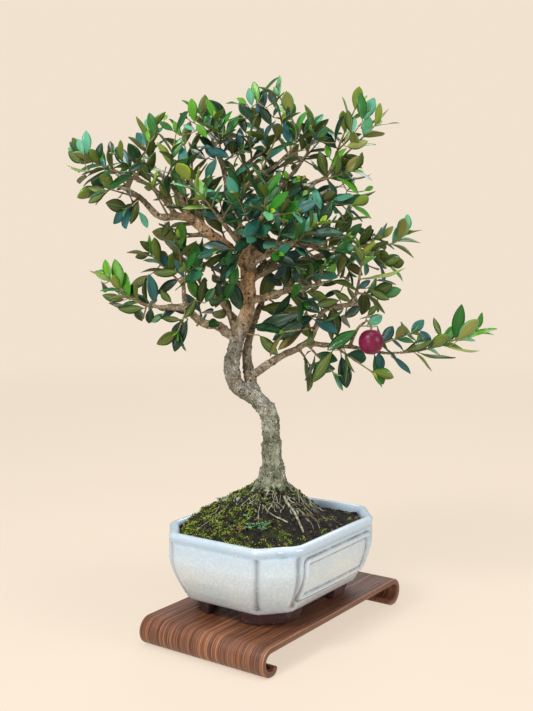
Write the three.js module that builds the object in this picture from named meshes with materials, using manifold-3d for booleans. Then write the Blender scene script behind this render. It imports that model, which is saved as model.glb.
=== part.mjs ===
// Olive bonsai in a glazed octagonal pot on a bentwood stand. Millimetres, +Z up.
// The stand's long side lies along X, and the tree's front faces away from its own +Y.
import * as THREE from "three";
import Module from "manifold-3d";

const wasm = await Module();
wasm.setup();

// ---------------------------------------------------------------- driving dimensions
const SEAT_GAP = 0.3;            // clearance between pieces that rest on each other
const FRONT_TURN = THREE.MathUtils.degToRad(-54.84);   // turn of the tree about the upright axis

const STAND_WIDTH = 125;         // along Y
const STAND_HEIGHT = 23.9;
const STAND_BOARD = 5;           // thickness of the bent board
const STAND_BEND_X = 98.3;       // centre of each round end
const STAND_FLAT = 2;            // flat strip that each end stands on
const HOOK_RADIUS = 6.5;         // outer radius of the curled-in lip
const HOOK_SWEEP = { left: 88, right: 22 };            // degrees that each lip curls in

const POT_CENTRE = [-6.2, 0.7];
const POT_HALF = [85.5, 67];     // rim half sizes along X and Y
const POT_CUT = [27.5, 23];      // cut corners at the rim
const POT_TUCK = 14;             // how far the wall draws in at the foot of the glaze
const POT_TUCK_FROM = 72;        // height where the wall starts to draw in
const POT_TOP = 94.3;
const POT_BASE = 35.75;          // underside of the glazed body
const POT_FLOOR = 44;            // inner floor
const POT_WALL = 7;
const SEAM_DEPTH = 0.9;          // groove down each corner edge
const SEAM_WIDTH = 2.2;
const PANEL = { half: 50, low: 48, high: 81.5, depth: 1.4, bevel: 1.6 };
const FOOT = { tuck: 21, width: 9, slope: 3.5, reachX: 27, reachNear: 14.5, reachFar: 20 };
const DRAIN = { radius: 7, spacing: 30, sides: 20 };
const SCREEN = { size: 24, thickness: 1, cells: 2, bar: 2.5 };

const SOIL_EDGE = 89.3;          // soil level along the wall
const SOIL_APEX = 124;           // soil level at the trunk
const MOUND_REACH = { left: 68, right: 44, front: 58, back: 50 };
const TRUNK_FOOT = [-5, -2];     // where the trunk stands, in the tree's frame
const STUMP = { radius: 13.4, bottom: 62 };            // buried part of the trunk
const HOLE_RADIUS = 15.3;

const LEAF = {
  widthRatio: 0.42, arch: -0.10,
  stations: [[0.12, 0.16, 0.8], [0.38, 0.95, 1.4], [0.74, 0.86, 1.1]],
  samples: [[0.2, 0.45], [0.3, 0.8], [0.44, 1], [0.58, 1], [0.72, 0.9], [0.86, 0.5], [1, 0]],
};
const TWIG = { root: 1.05, tip: 0.55, spans: 4, knot: 0.8, bud: 2.5 };
const LEAF_BEYOND_TWIG = 0.55;   // how far the last pair reaches past its twig, in leaf lengths
const SPUR = { length: 4.5, radius: 1.5 };

// ---------------------------------------------------------------- branches
// Centre points [x, y, z, radius] in the tree's frame: x to its right, y to its back.
const BRANCHES = {
  trunk: [[-5, -2, STUMP.bottom, STUMP.radius], [-5, -2, 100, STUMP.radius], [-5, -2, 113, 13.2],
    [-5, -2, 122, 11.4], [-4, -2, 129, 9.8], [-4, -2, 140, 8.3], [-5, -3, 156, 7.6], [-5, -4, 172, 7.2],
    [-6, -4, 184, 7.0], [-10, -4, 193, 6.9], [-18, -4, 200, 6.6], [-26, -4, 205, 6.5],
    [-33, -4, 211, 6.4], [-37, -4, 221, 6.2], [-37, -3, 234, 6.0], [-34, -2, 247, 5.7],
    [-30, -1, 260, 5.6], [-26, 0, 273, 5.7], [-25, 1, 286, 5.7], [-25, 1, 300, 6.0], [-25, 0, 312, 6.6],
    [-26, 0, 320, 6.2], [-26, 0, 326, 4.4]],
  second_stem: [[-19, -3, 203, 5.2], [-22, 2, 209, 5.2], [-24, 6, 217, 4.8], [-26, 8, 229, 4.0],
    [-26, 9, 241, 3.5], [-24, 10, 251, 3.2], [-19, 22, 266, 2.8], [-13, 38, 281, 2.3],
    [-6, 52, 293, 1.7]],
  left_stub: [[-35, -2, 250, 2.6], [-40, -3, 268, 2.2], [-47, -3, 284, 1.9]],
  low_left: [[-32, -2, 249, 4.4], [-42, -5, 255, 4.0], [-51, -8, 262, 3.7], [-60, -11, 263, 3.4],
    [-69, -13, 269, 3.1], [-76, -14, 276, 2.6], [-85, -15, 277, 2.2], [-98, -17, 278, 1.7],
    [-109, -19, 280, 1.3]],
  low_left_riser: [[-75, -14, 273, 2.2], [-78, -13, 283, 1.9], [-79, -11, 298, 1.6],
    [-81, -10, 315, 1.2]],
  inner_left: [[-30, 1, 262, 2.5], [-41, 6, 272, 2.1], [-51, 8, 283, 1.8], [-64, 10, 294, 1.4]],
  left_main: [[-26, 0, 317, 6.0], [-33, -2, 320, 5.4], [-41, -5, 326, 4.9], [-51, -8, 334, 4.7],
    [-61, -12, 342, 4.4], [-69, -15, 349, 4.0], [-76, -17, 352, 3.4], [-84, -18, 353, 3.0],
    [-95, -19, 352, 2.7], [-102, -20, 356, 2.5], [-108, -21, 363, 2.2], [-114, -22, 369, 2.0],
    [-123, -23, 374, 1.7], [-131, -24, 377, 1.4]],
  left_upper: [[-83, -18, 352, 2.2], [-93, -22, 366, 2.0], [-104, -26, 377, 1.7], [-116, -29, 383, 1.4],
    [-128, -31, 387, 1.1]],
  left_riser: [[-73, -16, 351, 2.6], [-81, -8, 367, 2.3], [-87, -6, 377, 1.9], [-97, -4, 387, 1.5],
    [-104, -3, 396, 1.2]],
  left_bare_twig: [[-59, -11, 340, 1.7], [-73, -6, 338, 1.3], [-86, -6, 342, 1.1], [-100, -4, 347, 0.9]],
  left_back: [[-62, -10, 343, 2.6], [-68, 4, 359, 2.1], [-72, 10, 374, 1.7], [-75, 14, 391, 1.3]],
  front_left: [[-26, -2, 322, 3.0], [-35, -18, 335, 2.2], [-43, -28, 345, 1.8], [-50, -36, 354, 1.4]],
  top_centre: [[-26, 0, 318, 5.2], [-29, 4, 335, 4.4], [-35, 8, 349, 3.8], [-39, 10, 363, 3.4],
    [-42, 12, 376, 3.0], [-44, 14, 386, 2.4], [-47, 16, 397, 1.9], [-53, 18, 410, 1.6],
    [-56, 18, 420, 1.2]],
  top_arm: [[-42, 12, 376, 2.4], [-35, 12, 390, 2.0], [-23, 8, 400, 1.5], [-13, 6, 407, 1.1]],
  top_front: [[-36, 9, 356, 2.4], [-27, 0, 377, 2.2], [-18, -4, 385, 2.0], [-3, -8, 394, 1.6],
    [10, -11, 406, 1.1]],
  right_main: [[-25, 0, 318, 5.0], [-18, 6, 331, 4.2], [-12, 10, 344, 3.6], [-6, 14, 358, 3.1],
    [-2, 16, 371, 2.6], [6, 20, 383, 2.1], [16, 22, 394, 1.6], [23, 22, 404, 1.2]],
  right_top: [[-5, 15, 362, 2.6], [11, 10, 373, 2.2], [21, 4, 377, 2.0], [32, 0, 382, 1.8],
    [40, -2, 386, 1.5], [45, -2, 394, 1.3], [50, 0, 408, 1.1]],
  right_cut: [[-10, 12, 350, 2.8], [9, -6, 358, 2.3], [18, -10, 362, 2.1], [31, -12, 368, 1.9],
    [44, -14, 375, 1.7]],
  right_mid: [[-24, -1, 318, 4.2], [-13, -6, 325, 3.6], [-3, -12, 328, 3.0], [8, -14, 330, 2.6],
    [20, -15, 329, 2.2], [40, -16, 331, 1.5]],
  right_rear: [[-23, 2, 301, 3.0], [-13, 8, 305, 2.6], [0, 16, 311, 2.2], [11, 24, 317, 1.8],
    [23, 32, 322, 1.3]],
  right_reach: [[-4, 14, 309, 2.2], [11, 18, 314, 2.1], [28, 18, 318, 1.8], [52, 16, 323, 1.5],
    [76, 14, 329, 1.2], [95, 14, 330, 1.0]],
  back_right: [[-24, 4, 300, 3.2], [-13, 22, 311, 2.7], [1, 40, 318, 2.2], [21, 56, 325, 1.6]],
  right_low: [[-24, 1, 282, 3.4], [-12, -2, 285, 3.0], [-5, -4, 287, 2.8], [7, -6, 291, 2.5],
    [18, -8, 295, 2.1], [28, -9, 295, 1.7], [39, -10, 298, 1.3]],
  long_right: [[-26, 5, 216, 3.8], [-19, 2, 220, 3.6], [-6, -4, 230, 3.1], [7, -8, 238, 2.8],
    [16, -10, 242, 2.7], [24, -12, 247, 2.5], [37, -13, 246, 2.2], [53, -14, 245, 1.8],
    [71, -14, 243, 1.5], [90, -12, 239, 1.3], [103, -10, 239, 1.1]],
  long_riser: [[23, -12, 246, 2.4], [29, -12, 253, 2.2], [33, -12, 263, 2.1], [38, -12, 274, 2.1],
    [48, -13, 278, 2.0], [67, -14, 280, 1.9]],
  riser_twig: [[58, -14, 279, 1.6], [64, -16, 286, 1.4], [67, -16, 297, 1.2], [69, -14, 309, 1.0]],
  fruit_twig: [[60, -14, 244, 1.6], [63, -17, 252, 1.3], [67, -21, 261, 1.2], [72, -26, 266, 1.1]],
  back_top: [[-25, 2, 318, 4.2], [-22, 18, 329, 3.4], [-19, 34, 341, 2.8], [-15, 48, 354, 2.2],
    [-13, 58, 366, 1.6]],
  back_left: [[-25, 3, 306, 3.6], [-34, 20, 318, 2.9], [-45, 36, 329, 2.3], [-58, 50, 338, 1.7]],
  back_low_left: [[-25, 3, 290, 3.0], [-36, 20, 298, 2.4], [-49, 36, 306, 2.0], [-64, 50, 313, 1.5]],
  front_top: [[-26, -1, 318, 4.0], [-26, -16, 328, 3.0], [-22, -30, 337, 2.4], [-17, -42, 344, 1.9],
    [-13, -52, 352, 1.4]],
  front_right: [[-24, -2, 312, 3.0], [-13, -20, 319, 2.4], [-2, -34, 324, 2.0], [9, -46, 328, 1.5]],
};

// Surface roots: [direction in degrees from the tree's right, length, radius at the trunk]
const ROOTS = [[-62, 46, 3.2], [-20, 34, 2.6], [28, 36, 2.8], [84, 38, 3.0], [138, 44, 2.8], [176, 52, 2.8],
  [-150, 48, 3.0], [-108, 42, 2.6]];

// Leafy sprays: [name, branch, place along it (1 is its end), tip of the spray, leaf pairs, leaf length]
const SPRAYS = [
  ["far_left", "left_upper", 1, [-165, -38, 404], 5, 22],
  ["left_lower", "left_main", 1, [-157, -22, 374], 3, 22],
  ["left_crown", "left_riser", 1, [-109, 4, 435], 5, 24],
  ["left_shoulder", "left_upper", 0.62, [-136, -52, 408], 4, 23],
  ["left_back_shoulder", "left_upper", 0.35, [-126, 8, 409], 4, 23],
  ["left_hanging", "left_main", 0.84, [-127, -46, 352], 2, 24],
  ["left_back_top", "left_back", 1, [-85, 42, 435], 4, 24],
  ["left_front_top", "left_riser", 0.55, [-85, -34, 415], 4, 24],
  ["crown_left", "top_centre", 1, [-69, 26, 451], 4, 24],
  ["crown_left_front", "top_centre", 0.72, [-52, -16, 442], 4, 24],
  ["crown_middle", "top_arm", 1, [-32, 6, 448], 4, 24],
  ["crown_top", "top_front", 1, [-2, -8, 464], 4, 23],
  ["crown_front", "top_front", 0.55, [8, -40, 437], 4, 24],
  ["crown_right", "right_main", 1, [35, 26, 441], 4, 24],
  ["crown_back", "right_main", 0.6, [17, 62, 432], 4, 25],
  ["upper_right", "right_top", 1, [69, 2, 453], 4, 22],
  ["upper_right_reach", "right_top", 0.8, [89, -14, 436], 4, 22],
  ["right_shoulder", "right_top", 0.5, [71, -34, 392], 4, 24],
  ["right_side", "right_cut", 0.72, [72, -36, 360], 4, 24],
  ["right_middle", "right_mid", 0.62, [55, -30, 354], 3, 25],
  ["right_high", "right_rear", 1, [103, 36, 337], 5, 23],
  ["right_reach", "right_reach", 1, [119, 14, 344], 3, 23],
  ["right_reach_low", "right_reach", 0.7, [105, 0, 308], 4, 22],
  ["right_inner", "right_low", 1, [66, 8, 318], 3, 23],
  ["right_inner_low", "right_low", 0.6, [42, -38, 316], 3, 24],
  ["long_tip", "long_right", 1, [179, -2, 259], 5, 24],
  ["long_middle", "long_right", 0.82, [120, -30, 261], 3, 20],
  ["long_under", "long_right", 0.66, [89, -22, 217], 2, 23],
  ["long_hanging", "long_right", 0.5, [55, -24, 214], 2, 25],
  ["long_low", "long_right", 0.42, [35, 4, 216], 2, 28],
  ["riser_tip", "riser_twig", 1, [71, -18, 333], 3, 22],
  ["riser_leaves", "riser_twig", 0.45, [96, -6, 284], 4, 22],
  ["dark_pair", "long_riser", 0.35, [-8, -40, 257], 2, 30],
  ["low_left_tip", "low_left", 1, [-148, -26, 307], 4, 22],
  ["low_left_hanging", "low_left", 0.62, [-88, -26, 246], 2, 26],
  ["low_left_crown", "low_left_riser", 1, [-84, -22, 345], 3, 23],
  ["low_left_outer", "low_left_riser", 0.62, [-115, -6, 329], 4, 24],
  ["low_left_back", "low_left", 0.42, [-71, 22, 291], 3, 24],
  ["inner_left_tip", "inner_left", 1, [-76, 20, 320], 3, 24],
  ["back_low_left_tip", "back_low_left", 1, [-93, 84, 325], 4, 25],
  ["back_left_tip", "back_left", 1, [-97, 84, 371], 4, 25],
  ["back_left_side", "back_left", 0.6, [-65, 72, 381], 4, 25],
  ["back_top_tip", "back_top", 1, [-14, 92, 416], 4, 25],
  ["back_top_side", "back_top", 0.6, [28, 80, 376], 4, 25],
  ["back_right_tip", "back_right", 1, [73, 86, 358], 5, 25],
  ["back_right_side", "back_right", 0.6, [34, 88, 296], 4, 25],
  ["back_stem_tip", "second_stem", 1, [13, 92, 314], 4, 25],
  ["front_left_tip", "front_left", 1, [-78, -50, 390], 4, 23],
  ["front_top_tip", "front_top", 1, [-8, -72, 385], 4, 25],
  ["front_top_side", "front_top", 0.6, [-36, -66, 375], 4, 25],
  ["front_right_tip", "front_right", 1, [34, -66, 351], 4, 25],
  ["front_right_side", "front_right", 0.6, [7, -72, 354], 3, 25],
];

const OLIVE = { centre: [76.8, -28, 249.7], height: 21, width: 20.4, stalk: 0.8 };

// ---------------------------------------------------------------- vectors and random draws
const add = (a, b, k = 1) => [a[0] + b[0] * k, a[1] + b[1] * k, a[2] + b[2] * k];
const sub = (a, b) => add(a, b, -1);
const scale = (a, k) => [a[0] * k, a[1] * k, a[2] * k];
const dot = (a, b) => a[0] * b[0] + a[1] * b[1] + a[2] * b[2];
const cross = (a, b) => [a[1] * b[2] - a[2] * b[1], a[2] * b[0] - a[0] * b[2], a[0] * b[1] - a[1] * b[0]];
const length = (a) => Math.sqrt(dot(a, a));
const unit = (a) => scale(a, 1 / length(a));
const mix = (a, b, t) => a + (b - a) * t;
const between = (a, b, t) => add(scale(a, 1 - t), b, t);

function seeded(seed) {
  let state = seed >>> 0;
  return () => {
    state = (state + 0x6d2b79f5) >>> 0;
    let t = state;
    t = Math.imul(t ^ (t >>> 15), t | 1);
    t ^= t + Math.imul(t ^ (t >>> 7), t | 61);
    return ((t ^ (t >>> 14)) >>> 0) / 4294967296;
  };
}

// ---------------------------------------------------------------- closed meshes
function meshData(points, triangles) {
  return { points, triangles };
}

// Skins a row of rings with equal point counts and closes both ends: "fan" from the first point of a
// convex end, "middle" round a point added at its centre, or "outline" for a flat end of any form.
function loft(rings, ends = "fan") {
  const count = rings[0].length;
  const points = rings.flat();
  const triangles = [];
  for (let ring = 0; ring + 1 < rings.length; ring += 1) {
    for (let i = 0; i < count; i += 1) {
      const a = ring * count + i;
      const b = ring * count + ((i + 1) % count);
      triangles.push([a, b, b + count], [a, b + count, a + count]);
    }
  }
  for (const [start, flipped] of [[0, true], [(rings.length - 1) * count, false]]) {
    for (const [a, b, c] of endFaces(points, start, count, ends)) {
      triangles.push(flipped ? [a, c, b] : [a, b, c]);
    }
  }
  return outward(meshData(points, triangles));
}

function endFaces(points, start, count, ends) {
  const corner = (i) => start + (i % count);
  if (ends === "middle") {
    const outline = points.slice(start, start + count);
    points.push(scale(outline.reduce((sum, p) => add(sum, p)), 1 / count));
    const middle = points.length - 1;
    return outline.map((_, i) => [middle, corner(i), corner(i + 1)]);
  }
  if (ends === "outline") {
    const outline = points.slice(start, start + count).map(([x, y]) => new THREE.Vector2(x, y));
    const forward = THREE.ShapeUtils.area(outline) > 0;
    return THREE.ShapeUtils.triangulateShape(outline, []).map(([a, b, c]) => (
      (THREE.ShapeUtils.area([outline[a], outline[b], outline[c]]) > 0) === forward
        ? [corner(a), corner(b), corner(c)] : [corner(a), corner(c), corner(b)]));
  }
  return Array.from({ length: count - 2 }, (_, i) => [corner(0), corner(i + 1), corner(i + 2)]);
}

function outward(mesh) {
  let volume = 0;
  for (const [a, b, c] of mesh.triangles) {
    volume += dot(mesh.points[a], cross(mesh.points[b], mesh.points[c]));
  }
  if (volume < 0) mesh.triangles = mesh.triangles.map(([a, b, c]) => [a, c, b]);
  return mesh;
}

function toManifold({ points, triangles }) {
  return new wasm.Manifold(new wasm.Mesh({
    numProp: 3,
    vertProperties: new Float32Array(points.flat()),
    triVerts: new Uint32Array(triangles.flat()),
  }));
}

function join(meshes) {
  return meshes.map(toManifold).reduce((whole, next) => whole.add(next));
}

function geometryOf(manifold) {
  const mesh = manifold.getMesh();
  const geometry = new THREE.BufferGeometry();
  geometry.setAttribute("position", new THREE.BufferAttribute(Float32Array.from(mesh.vertProperties), 3));
  geometry.setIndex(new THREE.BufferAttribute(Uint32Array.from(mesh.triVerts), 1));
  geometry.computeVertexNormals();
  return geometry;
}

function named(name, geometry, material) {
  const mesh = new THREE.Mesh(geometry, material);
  mesh.name = name;
  return mesh;
}

// ---------------------------------------------------------------- materials
const material = (color, roughness) => new THREE.MeshStandardMaterial({ color, roughness, metalness: 0 });
const WALNUT = material(0x6b4130, 0.45);
const GLAZE = material(0xc9d2d3, 0.3);
const EARTH = material(0x2e2a1c, 0.95);
const PLASTIC = material(0x20231f, 0.7);
const BARK = material(0x7d7058, 0.9);
const LEAFAGE = material(0x3f6238, 0.5);
const FRUIT = material(0x6e1238, 0.3);

// ---------------------------------------------------------------- stand
// One board bent down and in at both ends, drawn in the XZ plane and extruded along Y.
function standGeometry() {
  const bend = STAND_HEIGHT / 2;
  const inner = bend - STAND_BOARD;
  const lipInner = HOOK_RADIUS - STAND_BOARD;
  const half = Math.PI / 2;
  const hookX = STAND_BEND_X - STAND_FLAT;
  const shape = new THREE.Shape();
  const rightEnd = -half - THREE.MathUtils.degToRad(HOOK_SWEEP.right);
  const leftEnd = -half + THREE.MathUtils.degToRad(HOOK_SWEEP.left);
  shape.moveTo(-STAND_BEND_X, STAND_HEIGHT);
  shape.lineTo(STAND_BEND_X, STAND_HEIGHT);
  shape.absarc(STAND_BEND_X, bend, bend, half, -half, true);
  shape.absarc(hookX, HOOK_RADIUS, HOOK_RADIUS, -half, rightEnd, true);
  shape.absarc(hookX, HOOK_RADIUS, lipInner, rightEnd, -half, false);
  shape.absarc(STAND_BEND_X, bend, inner, -half, half, false);
  shape.absarc(-STAND_BEND_X, bend, inner, half, 3 * half, false);
  shape.absarc(-hookX, HOOK_RADIUS, lipInner, -half, leftEnd, false);
  shape.absarc(-hookX, HOOK_RADIUS, HOOK_RADIUS, leftEnd, -half, true);
  shape.absarc(-STAND_BEND_X, bend, bend, 3 * half, half, true);
  const geometry = new THREE.ExtrudeGeometry(shape, {
    depth: STAND_WIDTH,
    bevelEnabled: false,
    curveSegments: 7,
  });
  geometry.rotateX(half);
  geometry.translate(0, STAND_WIDTH / 2, 0);
  return geometry;
}

// ---------------------------------------------------------------- pot
const wallInset = (z) => POT_TUCK * Math.max(0, (POT_TUCK_FROM - z) / (POT_TUCK_FROM - POT_BASE)) ** 1.5;

// Corner points of the pot's octagon, drawn in by an inset, going round from the right side.
function octagon(inset) {
  const x = POT_HALF[0] - inset;
  const y = POT_HALF[1] - inset;
  const cutX = POT_CUT[0] - inset * 0.42;
  const cutY = POT_CUT[1] - inset * 0.34;
  return [[x, -y + cutY], [x, y - cutY], [x - cutX, y], [-x + cutX, y],
    [-x, y - cutY], [-x, -y + cutY], [-x + cutX, -y], [x - cutX, -y]];
}

// The outer outline at a height: grooved corners, and panel edges on both long sides.
function wallRing(z, inset, { rounding = SEAM_WIDTH * 0.45, seam = 0, panel = 0 } = {}) {
  const corners = octagon(inset);
  const ring = [];
  corners.forEach((corner, i) => {
    const before = corners[(i + 7) % 8];
    const after = corners[(i + 1) % 8];
    const back = unit([before[0] - corner[0], before[1] - corner[1], 0]);
    const ahead = unit([after[0] - corner[0], after[1] - corner[1], 0]);
    const inwards = unit([back[0] + ahead[0], back[1] + ahead[1], 0]);
    const beside = ([x, y], distance) => [corner[0] + x * distance, corner[1] + y * distance];
    ring.push(beside(back, SEAM_WIDTH), beside(inwards, rounding + seam), beside(ahead, SEAM_WIDTH));
    if (i === 2 || i === 6) {
      const turn = Math.sign(corner[0]);
      const half = Math.min(PANEL.half, Math.abs(corner[0]) - SEAM_WIDTH - 1);
      for (const [x, deep] of [[half, 0], [half - PANEL.bevel, 1], [-half + PANEL.bevel, 1], [-half, 0]]) {
        ring.push([x * turn, corner[1] - Math.sign(corner[1]) * deep * panel]);
      }
    }
  });
  return ring.map(([x, y]) => [POT_CENTRE[0] + x, POT_CENTRE[1] + y, z]);
}

function potBody() {
  const rings = [];
  const outer = (z, options, extra = 0) => rings.push(wallRing(z, wallInset(z) + extra, options));
  const sunk = { seam: SEAM_DEPTH, panel: PANEL.depth };
  const level = { seam: SEAM_DEPTH };
  const inside = { rounding: 0 };
  outer(POT_BASE, {}, 1.6);
  outer(POT_BASE + 3.2, level, 0.2);
  outer(PANEL.low, level);
  outer(PANEL.low + PANEL.bevel, sunk);
  outer(62, sunk);
  outer(PANEL.high - PANEL.bevel, sunk);
  outer(PANEL.high, level);
  outer(87, { seam: 0.3 }, 0.4);
  outer(89, {}, -0.3);
  outer(92.4, {}, -0.2);
  outer(POT_TOP, {}, 1.9);
  outer(POT_TOP, inside, POT_WALL - 1.4);
  outer(54, inside, POT_WALL);
  outer(POT_FLOOR, inside, POT_WALL + 1.5);
  return loft(rings, "middle");
}

// A foot wraps one cut corner, with sloping ends; signs pick the corner.
function potFoot(signX, signY, reachY) {
  const outline = (z, inset, spread) => {
    const x = POT_HALF[0] - inset;
    const y = POT_HALF[1] - inset;
    const cutX = POT_CUT[0] - 8;
    const cutY = POT_CUT[1] - 4;
    const w = FOOT.width;
    const endX = FOOT.reachX - spread;
    const endY = reachY - spread;
    const bend = w * 0.42;
    return [[x, endY], [x, y - cutY], [x - cutX, y], [endX, y],
      [endX, y - w], [x - cutX - bend, y - w], [x - w, y - cutY - bend], [x - w, endY]]
      .map(([px, py]) => [POT_CENTRE[0] + px * signX, POT_CENTRE[1] + py * signY, z]);
  };
  const low = STAND_HEIGHT + SEAT_GAP;
  const rings = [outline(low, FOOT.tuck + 0.6, 0), outline(low + 1.2, FOOT.tuck, 0),
    outline(POT_BASE + 1, FOOT.tuck - 3.5, FOOT.slope)];
  return loft(rings, "outline");
}

function potSolid() {
  const feet = [];
  for (const signX of [-1, 1]) {
    for (const signY of [-1, 1]) {
      const shortFoot = signX < 0 && signY < 0;
      feet.push(potFoot(signX, signY, shortFoot ? FOOT.reachNear : FOOT.reachFar));
    }
  }
  let pot = join([potBody(), ...feet]);
  for (const side of [-1, 1]) {
    pot = pot.subtract(toManifold(drainPlug(side)));
  }
  return pot;
}

function drainPlug(side) {
  const ring = (z) => Array.from({ length: DRAIN.sides }, (_, i) => {
    const angle = (i / DRAIN.sides) * 2 * Math.PI;
    return [POT_CENTRE[0] + side * DRAIN.spacing + DRAIN.radius * Math.cos(angle),
      POT_CENTRE[1] + DRAIN.radius * Math.sin(angle), z];
  });
  return loft([ring(POT_BASE - 2), ring(POT_FLOOR + 2)]);
}

// Square mesh laid over a drain hole.
function screenSolid(side) {
  const centre = [POT_CENTRE[0] + side * DRAIN.spacing, POT_CENTRE[1]];
  const low = POT_FLOOR + SEAT_GAP;
  const block = (x, y, size, z0, z1) => toManifold(loft([z0, z1].map((z) => [
    [x, y, z], [x + size, y, z], [x + size, y + size, z], [x, y + size, z]])));
  const corner = centre.map((c) => c - SCREEN.size / 2);
  const pitch = (SCREEN.size - SCREEN.bar) / SCREEN.cells;
  let screen = block(...corner, SCREEN.size, low, low + SCREEN.thickness);
  for (let i = 0; i < SCREEN.cells; i += 1) {
    for (let j = 0; j < SCREEN.cells; j += 1) {
      const x = corner[0] + SCREEN.bar + i * pitch;
      const y = corner[1] + SCREEN.bar + j * pitch;
      screen = screen.subtract(block(x, y, pitch - SCREEN.bar, low - 1, low + SCREEN.thickness + 1));
    }
  }
  return screen;
}

// ---------------------------------------------------------------- soil
const turned = ([x, y]) => [x * Math.cos(FRONT_TURN) - y * Math.sin(FRONT_TURN),
  x * Math.sin(FRONT_TURN) + y * Math.cos(FRONT_TURN)];

// Height of the soil at a point of the tree's frame: a mound round the trunk, with small tufts.
function soilHeight(x, y) {
  const dx = x - TRUNK_FOOT[0];
  const dy = y - TRUNK_FOOT[1];
  const r = Math.sqrt(dx * dx + dy * dy) + 1e-9;
  const reachX = dx < 0 ? MOUND_REACH.left : MOUND_REACH.right;
  const reachY = dy < 0 ? MOUND_REACH.front : MOUND_REACH.back;
  const reach = 1 / Math.sqrt((dx / r / reachX) ** 2 + (dy / r / reachY) ** 2);
  const slope = Math.max(0, 1 - (r - HOLE_RADIUS) / reach);
  const tufts = 0.7 * Math.sin(x * 0.31 + 1.1) * Math.sin(y * 0.27 + 0.4) * Math.min(1, r / 60);
  return SOIL_EDGE + (SOIL_APEX - SOIL_EDGE) * Math.min(1, slope) ** 1.12 + tufts;
}

// Distance from the trunk to the inner wall of the pot along a direction, at one height.
function reachToWall(foot, direction, z, extra) {
  const corners = octagon(wallInset(z) + extra + SEAT_GAP);
  let reach = Infinity;
  corners.forEach((corner, i) => {
    const next = corners[(i + 1) % 8];
    const edge = [next[0] - corner[0], next[1] - corner[1]];
    const normal = [edge[1], -edge[0]];
    const ahead = direction[0] * normal[0] + direction[1] * normal[1];
    const gap = (corner[0] - foot[0]) * normal[0] + (corner[1] - foot[1]) * normal[1];
    if (ahead > 1e-9) reach = Math.min(reach, gap / ahead);
  });
  return reach;
}

function soilSolid() {
  const sectors = 28;
  const steps = [0, 0.14, 0.32, 0.52, 0.76, 1];
  const [footX, footY] = turned(TRUNK_FOOT);
  const foot = [footX - POT_CENTRE[0], footY - POT_CENTRE[1]];
  const angles = Array.from({ length: sectors }, (_, i) => (i / sectors) * 2 * Math.PI);
  const spread = (z, extra, part, height) => angles.map((angle) => {
    const direction = [Math.cos(angle), Math.sin(angle)];
    const wall = reachToWall(foot, direction, z, extra);
    const r = mix(HOLE_RADIUS, wall, part);
    const x = footX + direction[0] * r;
    const y = footY + direction[1] * r;
    const local = [x * Math.cos(FRONT_TURN) + y * Math.sin(FRONT_TURN),
      -x * Math.sin(FRONT_TURN) + y * Math.cos(FRONT_TURN)];
    return [x, y, height === null ? soilHeight(local[0], local[1]) : height];
  });
  const bottom = POT_FLOOR + SCREEN.thickness + 2 * SEAT_GAP;
  const rings = [spread(bottom, POT_WALL + 1.7, 1, bottom), spread(54, POT_WALL, 1, 54)];
  for (const part of [...steps].reverse()) rings.push(spread(86, POT_WALL, part, null));
  rings.push(spread(86, POT_WALL, 0, STUMP.bottom - SEAT_GAP));
  return loft(rings, "middle");
}

// ---------------------------------------------------------------- wood
function smoothPath(points, step) {
  const knots = points.map(([x, y, z]) => new THREE.Vector3(x, y, z));
  const curve = new THREE.CatmullRomCurve3(knots, false, "centripetal");
  const path = [];
  for (let i = 0; i + 1 < points.length; i += 1) {
    const spans = Math.max(1, Math.round(length(sub(points[i + 1], points[i])) / step));
    for (let k = 0; k < spans; k += 1) {
      const t = (i + k / spans) / (points.length - 1);
      const p = curve.getPoint(t);
      path.push([p.x, p.y, p.z, mix(points[i][3], points[i + 1][3], k / spans)]);
    }
  }
  path.push(points[points.length - 1].slice(0, 4));
  return path;
}

// A tapering tube with flat ends; knots gives the bark's swellings.
function tube(path, sides, knots = 0) {
  const rings = [];
  let across = null;
  path.forEach((point, i) => {
    const before = path[Math.max(0, i - 1)];
    const after = path[Math.min(path.length - 1, i + 1)];
    const along = unit(sub(after, before));
    const guide = across ?? (Math.abs(along[2]) > 0.9 ? [1, 0, 0] : [0, 0, 1]);
    across = unit(sub(guide, scale(along, dot(guide, along))));
    const up = cross(along, across);
    rings.push(Array.from({ length: sides }, (_, k) => {
      const angle = (k / sides) * 2 * Math.PI;
      const swell = 1 + knots * Math.sin(angle * 3 + i * 1.7) + knots * Math.sin(i * 2.3);
      const offset = add(scale(across, Math.cos(angle)), up, Math.sin(angle));
      return add(point, offset, point[3] * swell);
    }));
  });
  return loft(rings);
}

function rootPath([degrees, reach, radius]) {
  const angle = THREE.MathUtils.degToRad(degrees);
  const clearance = 1.2;
  return [4, 12, 17, 24, 32, 42, 54].filter((r) => r <= reach).map((r, i) => {
    const bend = angle + 0.12 * Math.sin(r * 0.35 + degrees);
    const x = TRUNK_FOOT[0] + r * Math.cos(bend);
    const y = TRUNK_FOOT[1] + r * Math.sin(bend);
    const size = mix(radius, 1.1, r / reach);
    return [x, y, i === 0 ? SOIL_APEX + 6 : soilHeight(x, y) + size + clearance, size];
  });
}

const branchPaths = {};
for (const [name, points] of Object.entries(BRANCHES)) {
  branchPaths[name] = smoothPath(points, name === "trunk" ? 12 : 18);
}

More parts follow.
